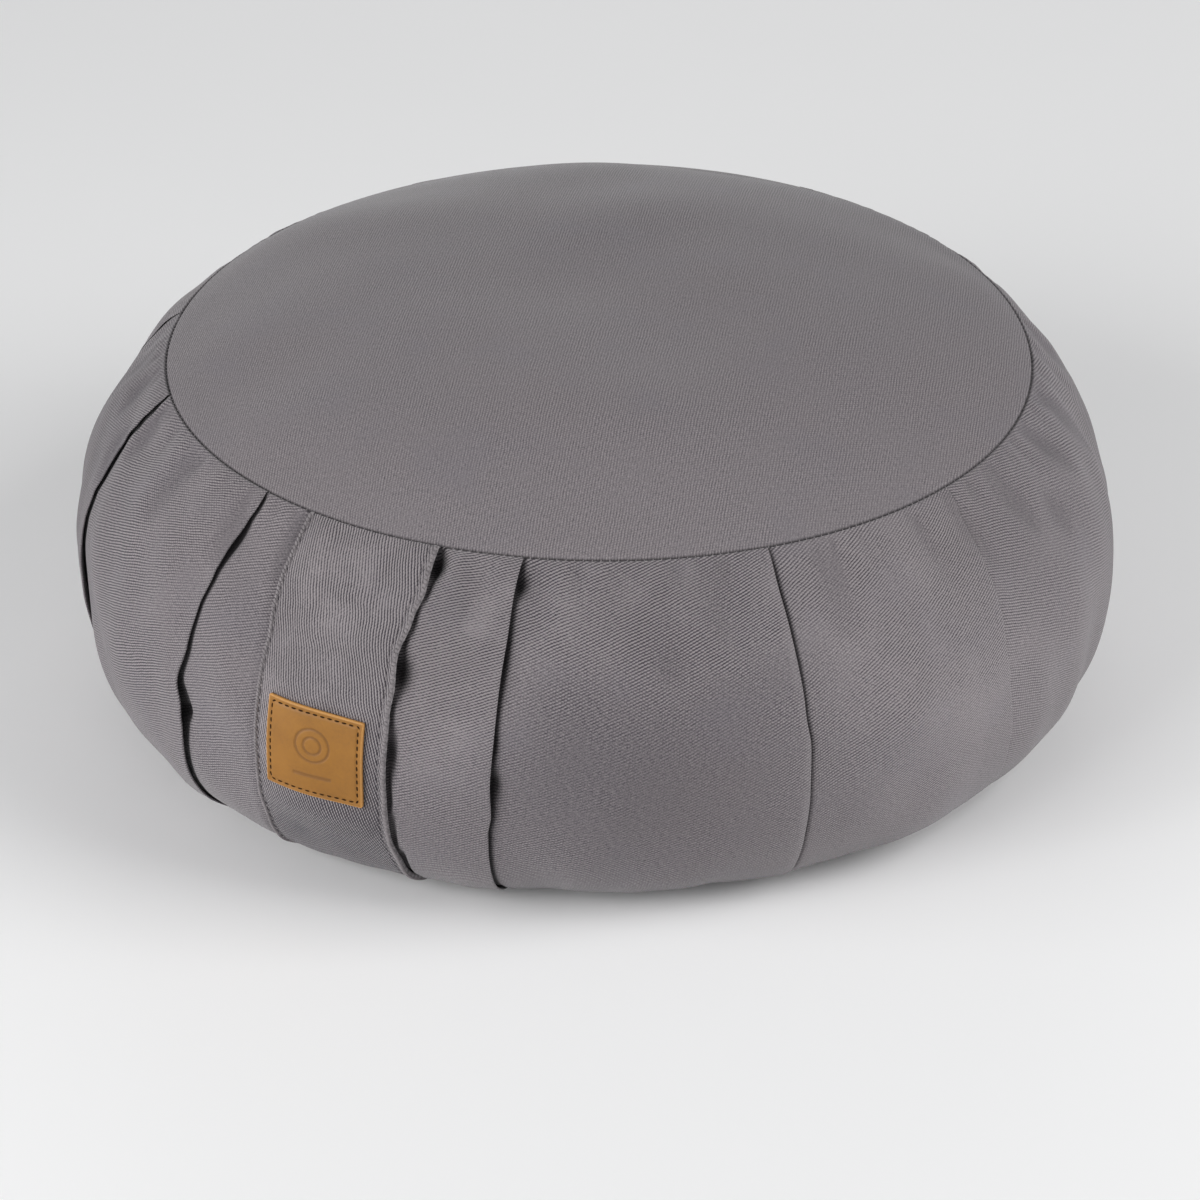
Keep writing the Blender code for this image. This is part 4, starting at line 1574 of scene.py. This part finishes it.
# Pitch, length, width and height in metres, then lean and wobble in radians
threadSizes = {
    "grooves": (0.0021, 0.0016, 0.00045, 0.0005, 0.16, 0.07),
    "ropes": (0.0015, 0.0021, 0.0012, 0.0012, 0.55, 0.10),
    "label": (0.0028, 0.0020, 0.00080, 0.00045, 0.06, 0.06),
    "seam": (0.0030, 0.0017, 0.00040, 0.0004, 1.25, 0.35),
}
threadPlaces = {
    "rises": (0.012, 0.988),  # where the strap's threads begin and end
    "strapSteps": 160,  # points along each path
    "labelSteps": 40,
    "seamSteps": 720,
    "raise": 0.05,  # millimetres: the strap's stitches over it, its whipped edges under it
    "labelRaise": 0.02,
    "seamInset": (0.3, 0.65),  # millimetres inside and below the top seam
    "seamFacing": (0.5, 0.87),  # outwards and upwards
}


def strapLines(places, raised):
    rise = np.linspace(*threadPlaces["rises"], threadPlaces["strapSteps"])
    paths = []
    for across in places:
        height = strapThickness(np.array(across)) + raised
        points = strapPoint(across + 0 * rise, rise, height)
        paths.append((points, sideOutward(strapAzimuth(across, rise), rise), False))
    return paths


def labelStitchPath():
    inset = label["stitchInset"]
    halfWidth, halfDrop = 0.5 * label["width"] - inset, 0.5 * label["drop"] - inset
    corners = [(halfWidth, halfDrop), (-halfWidth, halfDrop)]
    corners += [(-halfWidth, -halfDrop), (halfWidth, -halfDrop)]
    x, y = [], []
    share = np.linspace(0.0, 1.0, threadPlaces["labelSteps"], endpoint=False)
    for (startX, startY), (endX, endY) in zip(corners, corners[1:] + corners[:1]):
        x.append(startX + (endX - startX) * share)
        y.append(startY + (endY - startY) * share)
    height = label["thickness"] - label["grooveDepth"] + threadPlaces["labelRaise"] * mm
    points, outward = labelPlace(np.concatenate(x), np.concatenate(y), height)
    return [(points, outward, True)]


def seamStitchPath():
    azimuth = np.linspace(-180.0, 180.0, threadPlaces["seamSteps"], endpoint=False)
    radius, height = topSeam(azimuth)
    inside, below = threadPlaces["seamInset"]
    points = placeAt(azimuth, radius - inside * mm, height - below * mm)
    return [(points, placeAt(azimuth, *threadPlaces["seamFacing"]), True)]


raised, inset = threadPlaces["raise"] * mm, strap["ropeInset"]
grooves = strapLines((strap["grooveLeft"], strap["width"] - strap["grooveRight"]), raised)
ropes = strapLines((inset, strap["width"] - inset), -raised)
strapThread = layStitches("strap_stitches", grooves, greyThread, 4, threadSizes["grooves"])
ropeThread = layStitches("strap_edge_whipping", ropes, greyThread, 6, threadSizes["ropes"])
labelThreadPiece = layStitches(
    "label_stitches", labelStitchPath(), brownThread, 9, threadSizes["label"]
)
seamThread = layStitches("seam_stitches", seamStitchPath(), greyThread, 2, threadSizes["seam"])
threads = (strapThread, ropeThread, labelThreadPiece, seamThread)
print("stitches:", sum(len(piece.data.polygons) for piece in threads), "faces")

for piece, node in (
    (sideCloth, "pleated_side"),
    (topCloth, "top_panel"),
    (bottomCloth, "bottom_panel"),
    (strapCloth, "side_strap"),
    (labelPatch, "leather_label"),
):
    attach(piece, "root")
    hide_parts(node)
for piece in threads:
    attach(piece, "root")

studio = {
    "sky": colour(0.97, 0.98, 1.0),
    "skyStrength": 0.22,
    "lamps": {
        "left": {"place": (-1.75, -0.65, 0.62), "width": 1.2, "watts": 17.0},
        "leftFront": {"place": (-1.35, -1.35, 0.90), "width": 1.2, "watts": 20.0},
        "right": {"place": (1.75, -0.50, 0.62), "width": 1.2, "watts": 13.0},
        "rightHigh": {"place": (1.50, -0.50, 1.35), "width": 1.2, "watts": 16.5},
        "back": {"place": (0.0, 1.9, 0.55), "width": 1.3, "watts": 8.0},
    },
    "aim": (0.0, 0.0, 0.08),
    "floor": colour(0.93, 0.93, 0.93),
    "floorPatch": colour(0.91, 0.91, 0.915),
    "floorReach": 5.0,
    "floorLevel": -0.0003,
}


def floorMaterial():
    material, bench = startMaterial("pale floor")
    grain = bench.noise(bench.place(), 9.0)
    finishMaterial(bench, {
        "Base Color": bench.mixColour(grain * 0.3, studio["floor"], studio["floorPatch"]),
        "Roughness": grain * 0.1 + 0.75,
        "Specular IOR Level": 0.2,
    })
    return material


def setStudio():
    ground = bpy.data.meshes.new("floor")
    reach, level = studio["floorReach"], studio["floorLevel"]
    corners = ((-reach, -reach), (reach, -reach), (reach, reach), (-reach, reach))
    ground.from_pydata([(x, y, level) for x, y in corners], [], [(0, 1, 2, 3)])
    ground.materials.append(floorMaterial())
    addObject("floor", ground)
    world = bpy.data.worlds.new("studio")
    world.use_nodes = True
    sky = world.node_tree.nodes["Background"]
    sky.inputs["Color"].default_value = studio["sky"]
    sky.inputs["Strength"].default_value = studio["skyStrength"]
    bpy.context.scene.world = world
    for name, look in studio["lamps"].items():
        lamp = bpy.data.lights.new(name, "AREA")
        lamp.size, lamp.energy = look["width"], look["watts"]
        holder = addObject(name, lamp)
        holder.location = look["place"]
        beam = Vector(studio["aim"]) - Vector(look["place"])
        holder.rotation_euler = beam.to_track_quat("-Z", "Y").to_euler()
    bpy.context.scene.view_settings.view_transform = "Standard"


setStudio()
print("studio ready")
